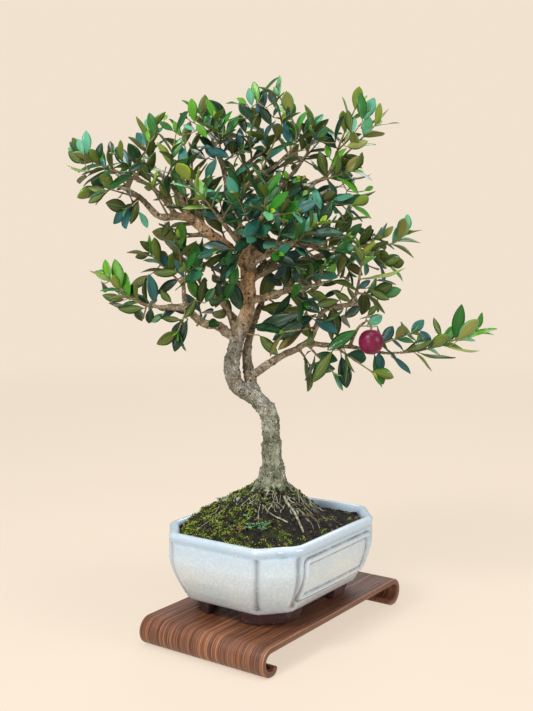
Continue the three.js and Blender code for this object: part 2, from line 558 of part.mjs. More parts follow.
// The flat end that a spray is seated on, and the short spur that carries it where it leaves a branch's side.
function seatOf(branch, place, tip) {
  const path = branchPaths[branch];
  if (place === 1) {
    const end = path[path.length - 1];
    return { at: end.slice(0, 3), along: unit(sub(end, path[path.length - 2])), radius: end[3], spur: null };
  }
  const where = place * (path.length - 1);
  const low = Math.floor(where);
  const start = between(path[low], path[low + 1], where - low);
  const along = unit(sub(tip, start));
  const reach = mix(path[low][3], path[low + 1][3], where - low) + SPUR.length;
  const at = add(start, along, reach);
  const radius = SPUR.radius * 0.8;
  return { at, along, radius, spur: [[...start, SPUR.radius], [...at, radius]] };
}

function woodSolid(seats) {
  const pieces = [];
  for (const [name, path] of Object.entries(branchPaths)) {
    const sides = name === "trunk" ? 9 : Math.min(6, Math.max(4, Math.round(path[0][3] + 0.8)));
    pieces.push(tube(path, sides, name === "trunk" ? 0.05 : 0.03));
  }
  for (const root of ROOTS) pieces.push(tube(rootPath(root), 4));
  for (const seat of seats) if (seat.spur) pieces.push(tube(seat.spur, 4));
  return join(pieces);
}

// ---------------------------------------------------------------- leaves
// A point on a blade: t along it, v across and w up from it.
function onLeaf({ root, along, normal, size }, t, v, w) {
  const across = cross(along, normal);
  return add(add(add(root, along, size * t), across, v), normal, w + LEAF.arch * size * t * t);
}

// A twig bends evenly from its seat to its end, which its last leaves pass to reach the spray's tip.
function makeTwig(seat, sprayTip, leafLength) {
  const start = add(seat.at, seat.along, SEAT_GAP);
  const tip = add(sprayTip, unit(sub(sprayTip, start)), -leafLength * LEAF_BEYOND_TWIG);
  const span = length(sub(tip, start));
  const knee = add(start, seat.along, span * 0.4);
  const thick = Math.min(TWIG.root, seat.radius * 0.95);
  const guide = unit(cross(seat.along, Math.abs(seat.along[2]) > 0.95 ? [1, 0, 0] : [0, 0, 1]));
  const place = (t) => between(between(start, knee, t), between(knee, tip, t), t);
  const heading = (t) => unit(add(scale(sub(knee, start), 1 - t), sub(tip, knee), t));
  const frame = (t) => {
    const along = heading(t);
    const across = unit(sub(guide, scale(along, dot(guide, along))));
    return { along, across, up: cross(along, across) };
  };
  return { span, place, frame, radius: (t) => mix(thick, TWIG.tip, t) };
}

const budOf = (twig) => add(twig.place(1), twig.frame(1).along, TWIG.bud);

const twigRodsOf = (twig) => [...Array.from({ length: TWIG.spans }, (_, i) => [
  twig.place(i / TWIG.spans), twig.place((i + 1) / TWIG.spans), twig.radius(i / TWIG.spans)]),
[twig.place(1), budOf(twig), twig.radius(1)]];

// One closed skin: a four-sided twig whose faces open into the blades that grow from them.
function sprayMesh(twig, nodes) {
  const points = [];
  const triangles = [];
  const ring = (t) => {
    const { along, across, up } = twig.frame(Math.min(t, 1));
    const centre = add(twig.place(Math.min(t, 1)), along, Math.max(0, t - 1) * twig.span);
    const first = points.length;
    for (let k = 0; k < 4; k += 1) {
      const angle = (k / 4) * 2 * Math.PI;
      const offset = add(scale(across, Math.cos(angle)), up, Math.sin(angle));
      points.push(add(centre, offset, twig.radius(Math.min(t, 1))));
    }
    return first;
  };
  const skin = (low, high, leaves) => {
    for (let k = 0; k < 4; k += 1) {
      const next = (k + 1) % 4;
      triangles.push([low + k, low + next, high + next]);
      const leaf = leaves.find(({ face }) => face === k);
      if (leaf) blade(leaf, [high + next, high + k, low + k]);
      else triangles.push([low + k, high + next, high + k]);
    }
  };
  // The foot's points, begun at the one that wrings the skin between foot and blade the least.
  const facing = (foot, rim) => {
    const spokes = (loop) => {
      const centre = scale(loop.map((i) => points[i]).reduce((a, b) => add(a, b)), 1 / 3);
      return loop.map((i) => sub(points[i], centre));
    };
    const [near, far] = [spokes(foot), spokes(rim)];
    const match = (shift) => far.reduce((sum, spoke, k) => sum + dot(spoke, near[(k + shift) % 3]), 0);
    const best = [1, 2].reduce((a, b) => (match(b) > match(a) ? b : a), 0);
    return foot.map((_, k) => foot[(k + best) % 3]);
  };
  // Six triangles between two loops of three points, each pair folded so that it bulges outwards.
  const sleeve = (low, high) => {
    for (let k = 0; k < 3; k += 1) {
      const [a, b, c, d] = [low[k], low[(k + 1) % 3], high[(k + 1) % 3], high[k]];
      const [ab, ac, ad] = [b, c, d].map((i) => sub(points[i], points[a]));
      if (dot(cross(ab, ac), ad) <= 0) triangles.push([a, b, c], [a, c, d]);
      else triangles.push([a, b, d], [b, c, d]);
    }
  };
  const blade = (leaf, foot) => {
    const half = leaf.size * LEAF.widthRatio / 2;
    let loop = null;
    for (const [t, width, keel] of LEAF.stations) {
      const first = points.length;
      const edge = half * width;
      points.push(onLeaf(leaf, t, -edge, 0), onLeaf(leaf, t, edge, 0), onLeaf(leaf, t, 0, -keel));
      const rim = [first, first + 1, first + 2];
      sleeve(loop || facing(foot, rim), rim);
      loop = rim;
    }
    points.push(onLeaf(leaf, 1, 0, -0.2));
    for (let k = 0; k < 3; k += 1) triangles.push([loop[k], loop[(k + 1) % 3], points.length - 1]);
  };
  const knot = TWIG.knot / twig.span;
  let last = ring(0);
  triangles.push([last, last + 2, last + 1], [last, last + 3, last + 2]);
  for (const { part, leaves } of nodes) {
    const low = ring(part - knot);
    const high = ring(part + knot);
    skin(last, low, []);
    skin(low, high, leaves);
    last = high;
  }
  points.push(budOf(twig));
  for (let k = 0; k < 4; k += 1) triangles.push([last + k, last + ((k + 1) % 4), points.length - 1]);
  return meshData(points, triangles);
}

// Points on a blade's middle surface that stand for it when clearances are tested.
function leafSamples(leaf) {
  const half = leaf.size * LEAF.widthRatio / 2;
  const samples = [];
  for (const [t, width] of LEAF.samples) {
    for (const v of width > 0 ? [-1, 0, 1] : [0]) samples.push(onLeaf(leaf, t, v * width * half, 0));
  }
  return samples;
}

// True where a sample lies on or close to the other blade.
function touchesLeaf(sample, leaf, near) {
  const offset = sub(sample, leaf.root);
  const u = dot(offset, leaf.along) / leaf.size;
  if (u < 0.12 || u > 1.06) return false;
  const v = Math.abs(dot(offset, cross(leaf.along, leaf.normal)));
  if (v > leaf.size * LEAF.widthRatio / 2 + near * 0.5) return false;
  const w = dot(offset, leaf.normal) - LEAF.arch * leaf.size * u * u;
  return Math.abs(w) < near;
}

function distanceToRod(p, [a, b, radius]) {
  const axis = sub(b, a);
  const t = Math.min(1, Math.max(0, dot(sub(p, a), axis) / dot(axis, axis)));
  return length(sub(p, add(a, axis, t))) - radius;
}

const rodsOf = (path) => path.slice(1).map((point, i) => [path[i].slice(0, 3), point.slice(0, 3),
  Math.max(path[i][3], point[3])]);

function leafIsClear(leaf, placed, rods, ownTwig) {
  const samples = leafSamples(leaf);
  const centre = add(leaf.root, leaf.along, leaf.size / 2);
  for (const rod of rods) {
    const middle = scale(add(rod[0], rod[1]), 0.5);
    const reach = leaf.size + length(sub(rod[1], rod[0])) / 2 + rod[2] + 2;
    if (length(sub(middle, centre)) > reach) continue;
    const margin = ownTwig.includes(rod) ? 1.0 : 1.9;
    if (samples.some((p) => distanceToRod(p, rod) < margin)) return false;
  }
  for (const other of placed) {
    const otherCentre = add(other.root, other.along, other.size / 2);
    if (length(sub(otherCentre, centre)) > (leaf.size + other.size) / 2 + 3) continue;
    const near = other.spray === leaf.spray ? 1.7 : 2.3;
    if (samples.some((p) => touchesLeaf(p, other, near))) return false;
    if (leafSamples(other).some((p) => touchesLeaf(p, leaf, near))) return false;
  }
  return true;
}

// Opposite pairs, each turned a quarter from the last, leaning towards the twig's end.
function growLeaves(spray, twig, pairs, leafLength, random, placed, rods, ownTwig) {
  const nodes = [];
  for (let pair = 0; pair < pairs; pair += 1) {
    const part = mix(0.22, 0.98, pair / (pairs - 1));
    const { along, across, up } = twig.frame(part);
    const leaves = [];
    for (const half of [0, 1]) {
      const face = (pair % 2) + half * 2;
      for (let attempt = 0; attempt < 14; attempt += 1) {
        const wild = 0.25 + attempt * 0.07;
        const turn = (face + 0.5) * Math.PI / 2 + (random() - 0.5) * 2 * Math.min(wild, 0.7);
        const lean = Math.max(0.45, mix(1.05, 0.5, part) + (random() - 0.5) * wild);
        const roll = (random() - 0.5) * 1.2 * wild;
        const size = leafLength * mix(1.08, 0.86, part) * (0.86 + 0.28 * random());
        const outwards = add(scale(across, Math.cos(turn)), up, Math.sin(turn));
        const direction = unit(add(scale(along, Math.cos(lean)), outwards, Math.sin(lean)));
        const lifted = add(add(along, [0, 0, 1], 0.5), cross(direction, along), roll);
        const normal = unit(sub(lifted, scale(direction, dot(lifted, direction))));
        const leaf = { spray, face, root: twig.place(part), along: direction, normal, size };
        if (leafIsClear(leaf, placed, rods, ownTwig)) {
          placed.push(leaf);
          leaves.push(leaf);
          break;
        }
      }
    }
    nodes.push({ part, leaves });
  }
  return nodes;
}

function growSprays() {
  const random = seeded(20417);
  const seats = SPRAYS.map(([, branch, place, tip]) => seatOf(branch, place, tip));
  const twigs = SPRAYS.map(([, , , tip, , leafLength], i) => makeTwig(seats[i], tip, leafLength));
  const twigRods = twigs.map(twigRodsOf);
  const spurRods = seats.filter((seat) => seat.spur).flatMap((seat) => rodsOf(seat.spur));
  const rods = [...Object.values(branchPaths).flatMap(rodsOf), ...spurRods, ...twigRods.flat(), oliveRod()];
  const placed = [];
  const sprays = SPRAYS.map(([name, , , , pairs, leafLength], i) => {
    const nodes = growLeaves(name, twigs[i], pairs, leafLength, random, placed, rods, twigRods[i]);
    return { name, mesh: sprayMesh(twigs[i], nodes) };
  });
  return { seats, sprays };
}

// ---------------------------------------------------------------- olive
function oliveRod() {
  const { centre, height, width } = OLIVE;
  const inset = (height - width) / 2;
  return [[centre[0], centre[1], centre[2] - inset], [centre[0], centre[1], centre[2] + inset], width / 2];
}

function oliveSolid() {
  const { centre, height, width, stalk } = OLIVE;
  const sides = 10;
  const bands = 8;
  const rings = [];
  for (let i = 1; i < bands; i += 1) {
    const angle = (i / bands) * Math.PI;
    const radius = (width / 2) * Math.sin(angle) ** 0.92;
    const z = centre[2] - (height / 2) * Math.cos(angle);
    rings.push(Array.from({ length: sides }, (_, k) => {
      const turn = (k / sides) * 2 * Math.PI;
      return [centre[0] + radius * Math.cos(turn), centre[1] + radius * Math.sin(turn), z];
    }));
  }
  const path = branchPaths.fruit_twig;
  const end = path[path.length - 1];
  const along = unit(sub(end, path[path.length - 2]));
  const seat = add(end, along, SEAT_GAP);
  const top = [centre[0], centre[1], centre[2] + height / 2];
  const stem = [[...seat, stalk], [...add(seat, along, 2), stalk], [...add(top, [0, 0, 1], 3), stalk],
    [...add(top, [0, 0, -1], 3), stalk]];
  return join([loft(rings), tube(stem, 6)]);
}

// ---------------------------------------------------------------- assembly
function build() {
  const bonsai = new THREE.Group();
  bonsai.add(named("stand", standGeometry(), WALNUT));
  bonsai.add(named("pot", geometryOf(potSolid()), GLAZE));
  bonsai.add(named("drain_screen_left", geometryOf(screenSolid(-1)), PLASTIC));
  bonsai.add(named("drain_screen_right", geometryOf(screenSolid(1)), PLASTIC));
  bonsai.add(named("soil", geometryOf(toManifold(soilSolid())), EARTH));

  const tree = new THREE.Group();
  tree.rotation.z = FRONT_TURN;
  const { seats, sprays } = growSprays();
  tree.add(named("tree_wood", geometryOf(woodSolid(seats)), BARK));
  for (const { name, mesh } of sprays) {
    tree.add(named(`spray_${name}`, geometryOf(toManifold(mesh)), LEAFAGE));
  }
  tree.add(named("olive", geometryOf(oliveSolid()), FRUIT));
  bonsai.add(tree);

  // The origin is the middle of the whole part's footprint, on the surface that it stands on.
  bonsai.updateMatrixWorld(true);
  const box = new THREE.Box3().setFromObject(bonsai, true);
  bonsai.position.set(-(box.min.x + box.max.x) / 2, -(box.min.y + box.max.y) / 2, -box.min.z);
  const part = new THREE.Group();
  part.add(bonsai);
  return part;
}

export default build();
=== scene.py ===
"""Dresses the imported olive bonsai: bark, leaves, fruit, soil, glazed pot and bentwood stand.

Shapes are worked out in millimetres, in the stand's frame: its middle on the table is the origin and
its long side lies along X. The tree has a frame of its own, turned about the upright axis. piece()
turns, scales and shifts them into the row frame, in metres.
"""

import math

import bmesh
import bpy
import numpy as np
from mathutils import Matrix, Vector, kdtree, noise


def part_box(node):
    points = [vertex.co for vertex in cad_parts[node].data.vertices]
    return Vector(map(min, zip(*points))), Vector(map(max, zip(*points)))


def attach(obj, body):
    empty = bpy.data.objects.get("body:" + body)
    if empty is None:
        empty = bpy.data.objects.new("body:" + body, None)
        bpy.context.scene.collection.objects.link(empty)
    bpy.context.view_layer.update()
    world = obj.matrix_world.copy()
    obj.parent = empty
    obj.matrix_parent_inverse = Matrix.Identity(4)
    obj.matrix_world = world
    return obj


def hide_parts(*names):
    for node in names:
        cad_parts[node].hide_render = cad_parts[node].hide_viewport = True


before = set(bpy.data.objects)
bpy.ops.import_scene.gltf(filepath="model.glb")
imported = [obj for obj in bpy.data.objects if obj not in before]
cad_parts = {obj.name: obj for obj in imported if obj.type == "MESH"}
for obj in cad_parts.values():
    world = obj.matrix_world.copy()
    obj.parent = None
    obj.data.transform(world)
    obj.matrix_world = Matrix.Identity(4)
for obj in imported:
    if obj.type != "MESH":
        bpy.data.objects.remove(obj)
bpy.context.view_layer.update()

# ---------------------------------------------------------------- sizes, in millimetres
MM = 0.001
STAND_LOW, STAND_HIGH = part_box("stand")
MIDDLE = np.array([(STAND_LOW.x + STAND_HIGH.x) / 2, (STAND_LOW.y + STAND_HIGH.y) / 2, 0.0])
TREE_TURN = math.radians(-54.84)
SEAT_GAP = 0.3

STAND = {"width": 125, "height": 23.9, "board": 5, "bend_x": 98.3, "flat": 2, "hook": 6.5}
HOOK_SWEEP = {"left": 88, "right": 22}
EDGE_ROUND = 0.9
END_PINCH = {0: 0.55, 1: 0.12}          # how much thinner the board's last rings are
BOARD_ROWS, DECK_STEPS, BEND_STEPS, HOOK_STEPS = 16, 40, 36, {"left": 14, "right": 6}

POT_CENTRE = (-6.2, 0.7)
POT_HALF = (85.5, 67)
POT_CUT = (27.5, 23)
POT_TUCK, POT_TUCK_FROM = 14, 72
POT_BASE, POT_FLOOR, POT_WALL = 35.75, 44, 7
PANEL = {"half": 50, "low": 48, "high": 81.5}
FOOT = {"tuck": 21, "width": 9, "slope": 3.5, "reach_x": 27, "reach_near": 14.5, "reach_far": 20}
DRAIN = {"radius": 7, "spacing": 30}

SOIL_EDGE, SOIL_APEX = 89.3, 124
MOUND_REACH = {"left": 68, "right": 44, "front": 58, "back": 50}
TRUNK_FOOT = (-5, -2)
CRUMBS, MOSS_SPOTS, ROOTLETS = 1500, 4600, 44
STUMP = {"radius": 13.4, "bottom": 62}
HOLE_RADIUS = 15.3
FLARE = {"wide": 12, "from": 113, "fall": 9}
TRUNK_BOW = {"aside": 2.2, "at": 210, "reach": 34}     # how far the fine trunk's bend is moved
NEAR_SIDE, SIGHT_ABOVE, SIGHT_STEP = 12, 8, 0.5        # how a pixel's line of sight is followed to the mound

LEAF_WIDTH, LEAF_ARCH = 0.42, -0.10
FULL_TURN = 6.28                        # near enough for a random direction

# What each seeded run of random numbers is for
SEEDS = {"crown": 20417, "seen": 808, "gaps": 5150, "fillers": 4711, "placed": 515, "crumbs": 91, "moss": 35,
         "rootlets": 12, "sprouts": 77}
TWIG = {"root": 1.05, "tip": 0.55, "spans": 4, "bud": 2.5}
LEAF_BEYOND_TWIG = 0.55
SPUR = {"length": 4.5, "radius": 1.5}

# ---------------------------------------------------------------- the tree's plan
# Centre points [x, y, z, radius] in the tree's frame: x to its right, y to its back.
BRANCHES = {
    "trunk": [[-5, -2, 62, 13.4], [-5, -2, 100, 13.4], [-5, -2, 113, 13.2], [-5, -2, 122, 11.4],
        [-4, -2, 129, 9.8], [-4, -2, 140, 8.3], [-5, -3, 156, 7.6], [-5, -4, 172, 7.2],
        [-6, -4, 184, 7.0], [-10, -4, 193, 6.9], [-18, -4, 200, 6.6], [-26, -4, 205, 6.5],
        [-33, -4, 211, 6.4], [-37, -4, 221, 6.2], [-37, -3, 234, 6.0], [-34, -2, 247, 5.7],
        [-30, -1, 260, 5.6], [-26, 0, 273, 5.7], [-25, 1, 286, 5.7], [-25, 1, 300, 6.0],
        [-25, 0, 312, 6.6], [-26, 0, 320, 6.2], [-26, 0, 326, 4.4]],
    "second_stem": [[-19, -3, 203, 5.2], [-22, 2, 209, 5.2], [-24, 6, 217, 4.8], [-26, 8, 229, 4.0],
        [-26, 9, 241, 3.5], [-24, 10, 251, 3.2], [-19, 22, 266, 2.8], [-13, 38, 281, 2.3],
        [-6, 52, 293, 1.7]],
    "left_stub": [[-35, -2, 250, 2.6], [-40, -3, 268, 2.2], [-47, -3, 284, 1.9]],
    "low_left": [[-32, -2, 249, 4.4], [-42, -5, 255, 4.0], [-51, -8, 262, 3.7], [-60, -11, 263, 3.4],
        [-69, -13, 269, 3.1], [-76, -14, 276, 2.6], [-85, -15, 277, 2.2], [-98, -17, 278, 1.7],
        [-109, -19, 280, 1.3]],
    "low_left_riser": [[-75, -14, 273, 2.2], [-78, -13, 283, 1.9], [-79, -11, 298, 1.6],
        [-81, -10, 315, 1.2]],
    "inner_left": [[-30, 1, 262, 2.5], [-41, 6, 272, 2.1], [-51, 8, 283, 1.8], [-64, 10, 294, 1.4]],
    "left_main": [[-26, 0, 317, 6.0], [-33, -2, 320, 5.4], [-41, -5, 326, 4.9], [-51, -8, 334, 4.7],
        [-61, -12, 342, 4.4], [-69, -15, 349, 4.0], [-76, -17, 352, 3.4], [-84, -18, 353, 3.0],
        [-95, -19, 352, 2.7], [-102, -20, 356, 2.5], [-108, -21, 363, 2.2], [-114, -22, 369, 2.0],
        [-123, -23, 374, 1.7], [-131, -24, 377, 1.4]],
    "left_upper": [[-83, -18, 352, 2.2], [-93, -22, 366, 2.0], [-104, -26, 377, 1.7],
        [-116, -29, 383, 1.4], [-128, -31, 387, 1.1]],
    "left_riser": [[-73, -16, 351, 2.6], [-81, -8, 367, 2.3], [-87, -6, 377, 1.9], [-97, -4, 387, 1.5],
        [-104, -3, 396, 1.2]],
    "left_bare_twig": [[-59, -11, 340, 1.7], [-73, -6, 338, 1.3], [-86, -6, 342, 1.1],
        [-100, -4, 347, 0.9]],
    "left_back": [[-62, -10, 343, 2.6], [-68, 4, 359, 2.1], [-72, 10, 374, 1.7], [-75, 14, 391, 1.3]],
    "front_left": [[-26, -2, 322, 3.0], [-35, -18, 335, 2.2], [-43, -28, 345, 1.8], [-50, -36, 354, 1.4]],
    "top_centre": [[-26, 0, 318, 5.2], [-29, 4, 335, 4.4], [-35, 8, 349, 3.8], [-39, 10, 363, 3.4],
        [-42, 12, 376, 3.0], [-44, 14, 386, 2.4], [-47, 16, 397, 1.9], [-53, 18, 410, 1.6],
        [-56, 18, 420, 1.2]],
    "top_arm": [[-42, 12, 376, 2.4], [-35, 12, 390, 2.0], [-23, 8, 400, 1.5], [-13, 6, 407, 1.1]],
    "top_front": [[-36, 9, 356, 2.4], [-27, 0, 377, 2.2], [-18, -4, 385, 2.0], [-3, -8, 394, 1.6],
        [10, -11, 406, 1.1]],
    "right_main": [[-25, 0, 318, 5.0], [-18, 6, 331, 4.2], [-12, 10, 344, 3.6], [-6, 14, 358, 3.1],
        [-2, 16, 371, 2.6], [6, 20, 383, 2.1], [16, 22, 394, 1.6], [23, 22, 404, 1.2]],
    "right_top": [[-5, 15, 362, 2.6], [11, 10, 373, 2.2], [21, 4, 377, 2.0], [32, 0, 382, 1.8],
        [40, -2, 386, 1.5], [45, -2, 394, 1.3], [50, 0, 408, 1.1]],
    "right_cut": [[-10, 12, 350, 2.8], [9, -6, 358, 2.3], [18, -10, 362, 2.1], [31, -12, 368, 1.9],
        [44, -14, 375, 1.7]],
    "right_mid": [[-24, -1, 318, 4.2], [-13, -6, 325, 3.6], [-3, -12, 328, 3.0], [8, -14, 330, 2.6],
        [20, -15, 329, 2.2], [40, -16, 331, 1.5]],
    "right_rear": [[-23, 2, 301, 3.0], [-13, 8, 305, 2.6], [0, 16, 311, 2.2], [11, 24, 317, 1.8],
        [23, 32, 322, 1.3]],
    "right_reach": [[-4, 14, 309, 2.2], [11, 18, 314, 2.1], [28, 18, 318, 1.8], [52, 16, 323, 1.5],
        [76, 14, 329, 1.2], [95, 14, 330, 1.0]],
    "back_right": [[-24, 4, 300, 3.2], [-13, 22, 311, 2.7], [1, 40, 318, 2.2], [21, 56, 325, 1.6]],
    "right_low": [[-24, 1, 282, 3.4], [-12, -2, 285, 3.0], [-5, -4, 287, 2.8], [7, -6, 291, 2.5],
        [18, -8, 295, 2.1], [28, -9, 295, 1.7], [39, -10, 298, 1.3]],
    "long_right": [[-26, 5, 216, 3.8], [-19, 2, 220, 3.6], [-6, -4, 230, 3.1], [7, -8, 238, 2.8],
        [16, -10, 242, 2.7], [24, -12, 247, 2.5], [37, -13, 246, 2.2], [53, -14, 245, 1.8],
        [71, -14, 243, 1.5], [90, -12, 239, 1.3], [103, -10, 239, 1.1]],
    "long_riser": [[23, -12, 246, 2.4], [29, -12, 253, 2.2], [33, -12, 263, 2.1], [38, -12, 274, 2.1],
        [48, -13, 278, 2.0], [67, -14, 280, 1.9]],
    "riser_twig": [[58, -14, 279, 1.6], [64, -16, 286, 1.4], [67, -16, 297, 1.2], [69, -14, 309, 1.0]],
    "fruit_twig": [[60, -14, 244, 1.6], [63, -17, 252, 1.3], [67, -21, 261, 1.2], [72, -26, 266, 1.1]],
    "back_top": [[-25, 2, 318, 4.2], [-22, 18, 329, 3.4], [-19, 34, 341, 2.8], [-15, 48, 354, 2.2],
        [-13, 58, 366, 1.6]],
    "back_left": [[-25, 3, 306, 3.6], [-34, 20, 318, 2.9], [-45, 36, 329, 2.3], [-58, 50, 338, 1.7]],
    "back_low_left": [[-25, 3, 290, 3.0], [-36, 20, 298, 2.4], [-49, 36, 306, 2.0], [-64, 50, 313, 1.5]],
    "front_top": [[-26, -1, 318, 4.0], [-26, -16, 328, 3.0], [-22, -30, 337, 2.4], [-17, -42, 344, 1.9],
        [-13, -52, 352, 1.4]],
    "front_right": [[-24, -2, 312, 3.0], [-13, -20, 319, 2.4], [-2, -34, 324, 2.0], [9, -46, 328, 1.5]],
}

# Surface roots: [direction in degrees from the tree's right, length, radius at the trunk]
ROOTS = [[-62, 46, 3.2], [-20, 34, 2.6], [28, 36, 2.8], [84, 38, 3.0], [138, 44, 2.8], [176, 52, 2.8],
         [-150, 48, 3.0], [-108, 42, 2.6]]

# Leafy sprays: [name, branch, place along it (1 is its end), tip of the spray, leaf pairs, leaf length]
SPRAYS = [
    ["far_left", "left_upper", 1, [-165, -38, 404], 5, 22],
    ["left_lower", "left_main", 1, [-157, -22, 374], 3, 22],
    ["left_crown", "left_riser", 1, [-109, 4, 435], 5, 24],
    ["left_shoulder", "left_upper", 0.62, [-136, -52, 408], 4, 23],
    ["left_back_shoulder", "left_upper", 0.35, [-126, 8, 409], 4, 23],
    ["left_hanging", "left_main", 0.84, [-127, -46, 352], 2, 24],
    ["left_back_top", "left_back", 1, [-85, 42, 435], 4, 24],
    ["left_front_top", "left_riser", 0.55, [-85, -34, 415], 4, 24],
    ["crown_left", "top_centre", 1, [-69, 26, 451], 4, 24],
    ["crown_left_front", "top_centre", 0.72, [-52, -16, 442], 4, 24],
    ["crown_middle", "top_arm", 1, [-32, 6, 448], 4, 24],
    ["crown_top", "top_front", 1, [-2, -8, 464], 4, 23],
    ["crown_front", "top_front", 0.55, [8, -40, 437], 4, 24],
    ["crown_right", "right_main", 1, [35, 26, 441], 4, 24],
    ["crown_back", "right_main", 0.6, [17, 62, 432], 4, 25],
    ["upper_right", "right_top", 1, [69, 2, 453], 4, 22],
    ["upper_right_reach", "right_top", 0.8, [89, -14, 436], 4, 22],
    ["right_shoulder", "right_top", 0.5, [71, -34, 392], 4, 24],
    ["right_side", "right_cut", 0.72, [72, -36, 360], 4, 24],
    ["right_middle", "right_mid", 0.62, [55, -30, 354], 3, 25],
    ["right_high", "right_rear", 1, [103, 36, 337], 5, 23],
    ["right_reach", "right_reach", 1, [119, 14, 344], 3, 23],
    ["right_reach_low", "right_reach", 0.7, [105, 0, 308], 4, 22],
    ["right_inner", "right_low", 1, [66, 8, 318], 3, 23],
    ["right_inner_low", "right_low", 0.6, [42, -38, 316], 3, 24],
    ["long_tip", "long_right", 1, [179, -2, 259], 5, 24],
    ["long_middle", "long_right", 0.82, [120, -30, 261], 3, 20],
    ["long_under", "long_right", 0.66, [89, -22, 217], 2, 23],
    ["long_hanging", "long_right", 0.5, [55, -24, 214], 2, 25],
    ["long_low", "long_right", 0.42, [35, 4, 216], 2, 28],
    ["riser_tip", "riser_twig", 1, [71, -18, 333], 3, 22],
    ["riser_leaves", "riser_twig", 0.45, [96, -6, 284], 4, 22],
    ["dark_pair", "long_riser", 0.35, [-8, -40, 257], 2, 30],
    ["low_left_tip", "low_left", 1, [-148, -26, 307], 4, 22],
    ["low_left_hanging", "low_left", 0.62, [-88, -26, 246], 2, 26],
    ["low_left_crown", "low_left_riser", 1, [-84, -22, 345], 3, 23],
    ["low_left_outer", "low_left_riser", 0.62, [-115, -6, 329], 4, 24],
    ["low_left_back", "low_left", 0.42, [-71, 22, 291], 3, 24],
    ["inner_left_tip", "inner_left", 1, [-76, 20, 320], 3, 24],
    ["back_low_left_tip", "back_low_left", 1, [-93, 84, 325], 4, 25],
    ["back_left_tip", "back_left", 1, [-97, 84, 371], 4, 25],
    ["back_left_side", "back_left", 0.6, [-65, 72, 381], 4, 25],
    ["back_top_tip", "back_top", 1, [-14, 92, 416], 4, 25],
    ["back_top_side", "back_top", 0.6, [28, 80, 376], 4, 25],
    ["back_right_tip", "back_right", 1, [73, 86, 358], 5, 25],
    ["back_right_side", "back_right", 0.6, [34, 88, 296], 4, 25],
    ["back_stem_tip", "second_stem", 1, [13, 92, 314], 4, 25],
    ["front_left_tip", "front_left", 1, [-78, -50, 390], 4, 23],
    ["front_top_tip", "front_top", 1, [-8, -72, 385], 4, 25],
    ["front_top_side", "front_top", 0.6, [-36, -66, 375], 4, 25],
    ["front_right_tip", "front_right", 1, [34, -66, 351], 4, 25],
    ["front_right_side", "front_right", 0.6, [7, -72, 354], 3, 25],
]
OLIVE = {"centre": (76.8, -28, 249.7), "height": 21, "width": 20.4, "stalk": 0.8}

# Pale rootlets on the mound, as the photo shows them, in its pixels
ROOTLETS_SEEN = {
    "left_high": [(248.2, 495.9), (237.6, 496.4), (233.9, 501.7), (236, 505.9)],
    "left_long": [(229.2, 504.8), (222.9, 512.2), (215.5, 519.6), (221.8, 526.4)],
    "left_outer": [(219.2, 508), (215.5, 514.3), (202.9, 519.6)],
    "left_low": [(212.4, 520.6), (203.9, 525.9), (196.6, 532)],
    "left_hook": [(250.3, 499), (243.9, 504.8), (240.3, 508.5), (241.3, 511.2)],
    "left_fork": [(255.5, 500.1), (248.2, 506.9), (247.1, 511.2)],
    "middle_down": [(260.8, 502.7), (259.2, 510.1), (258.2, 517.5), (258.7, 524.8)],
    "middle_thick": [(262.4, 506.4), (266.1, 511.2), (275.5, 518.5), (281.8, 521.7), (287.6, 524.3)],
    "middle_up": [(268.2, 511.2), (271.3, 506.9), (272.4, 504.3)],
    "right_small": [(273.4, 502.2), (276.6, 508), (277.6, 510.1)],
    "right_curl": [(276.6, 505.9), (280.3, 511.2), (280.8, 514.3)],
    "right_fork": [(284.5, 505.9), (283.4, 509.6), (280.3, 512.2)],
    "right_thick": [(284, 498), (286.1, 503.3), (292.4, 511.2), (297.6, 520.6), (300.8, 528),
        (303.4, 534.8)],
    "right_high": [(280.3, 488), (286.1, 495.4), (290.3, 501.7), (296.1, 505.4)],
    "right_upright": [(295.5, 485), (298.2, 491.2), (298.7, 498.5), (299.2, 504.8)],
    "right_edge": [(309.2, 501.7), (312.9, 510.1), (315, 513.8)],
    "right_tip": [(313.4, 500.6), (311.8, 504.8)],
}
THICK_ROOTLETS = {"right_thick": 1.15, "middle_thick": 0.65, "right_upright": 0.55, "right_high": 0.55,
                  "left_long": 0.45, "left_outer": 0.45}
ROOTLET_USUAL, ROOTLET_STEP = 0.38, 3

# Small weeds on the soil: x and y in the tree's frame, and whether they are reddish
SPROUTS = [(-23, -55, 0), (-18, -52, 0), (-13, -58, 0), (-10, -55, 0), (-30, -55, 1), (-25, -44, 0),
           (14, 34, 0), (-50, 22, 0)]

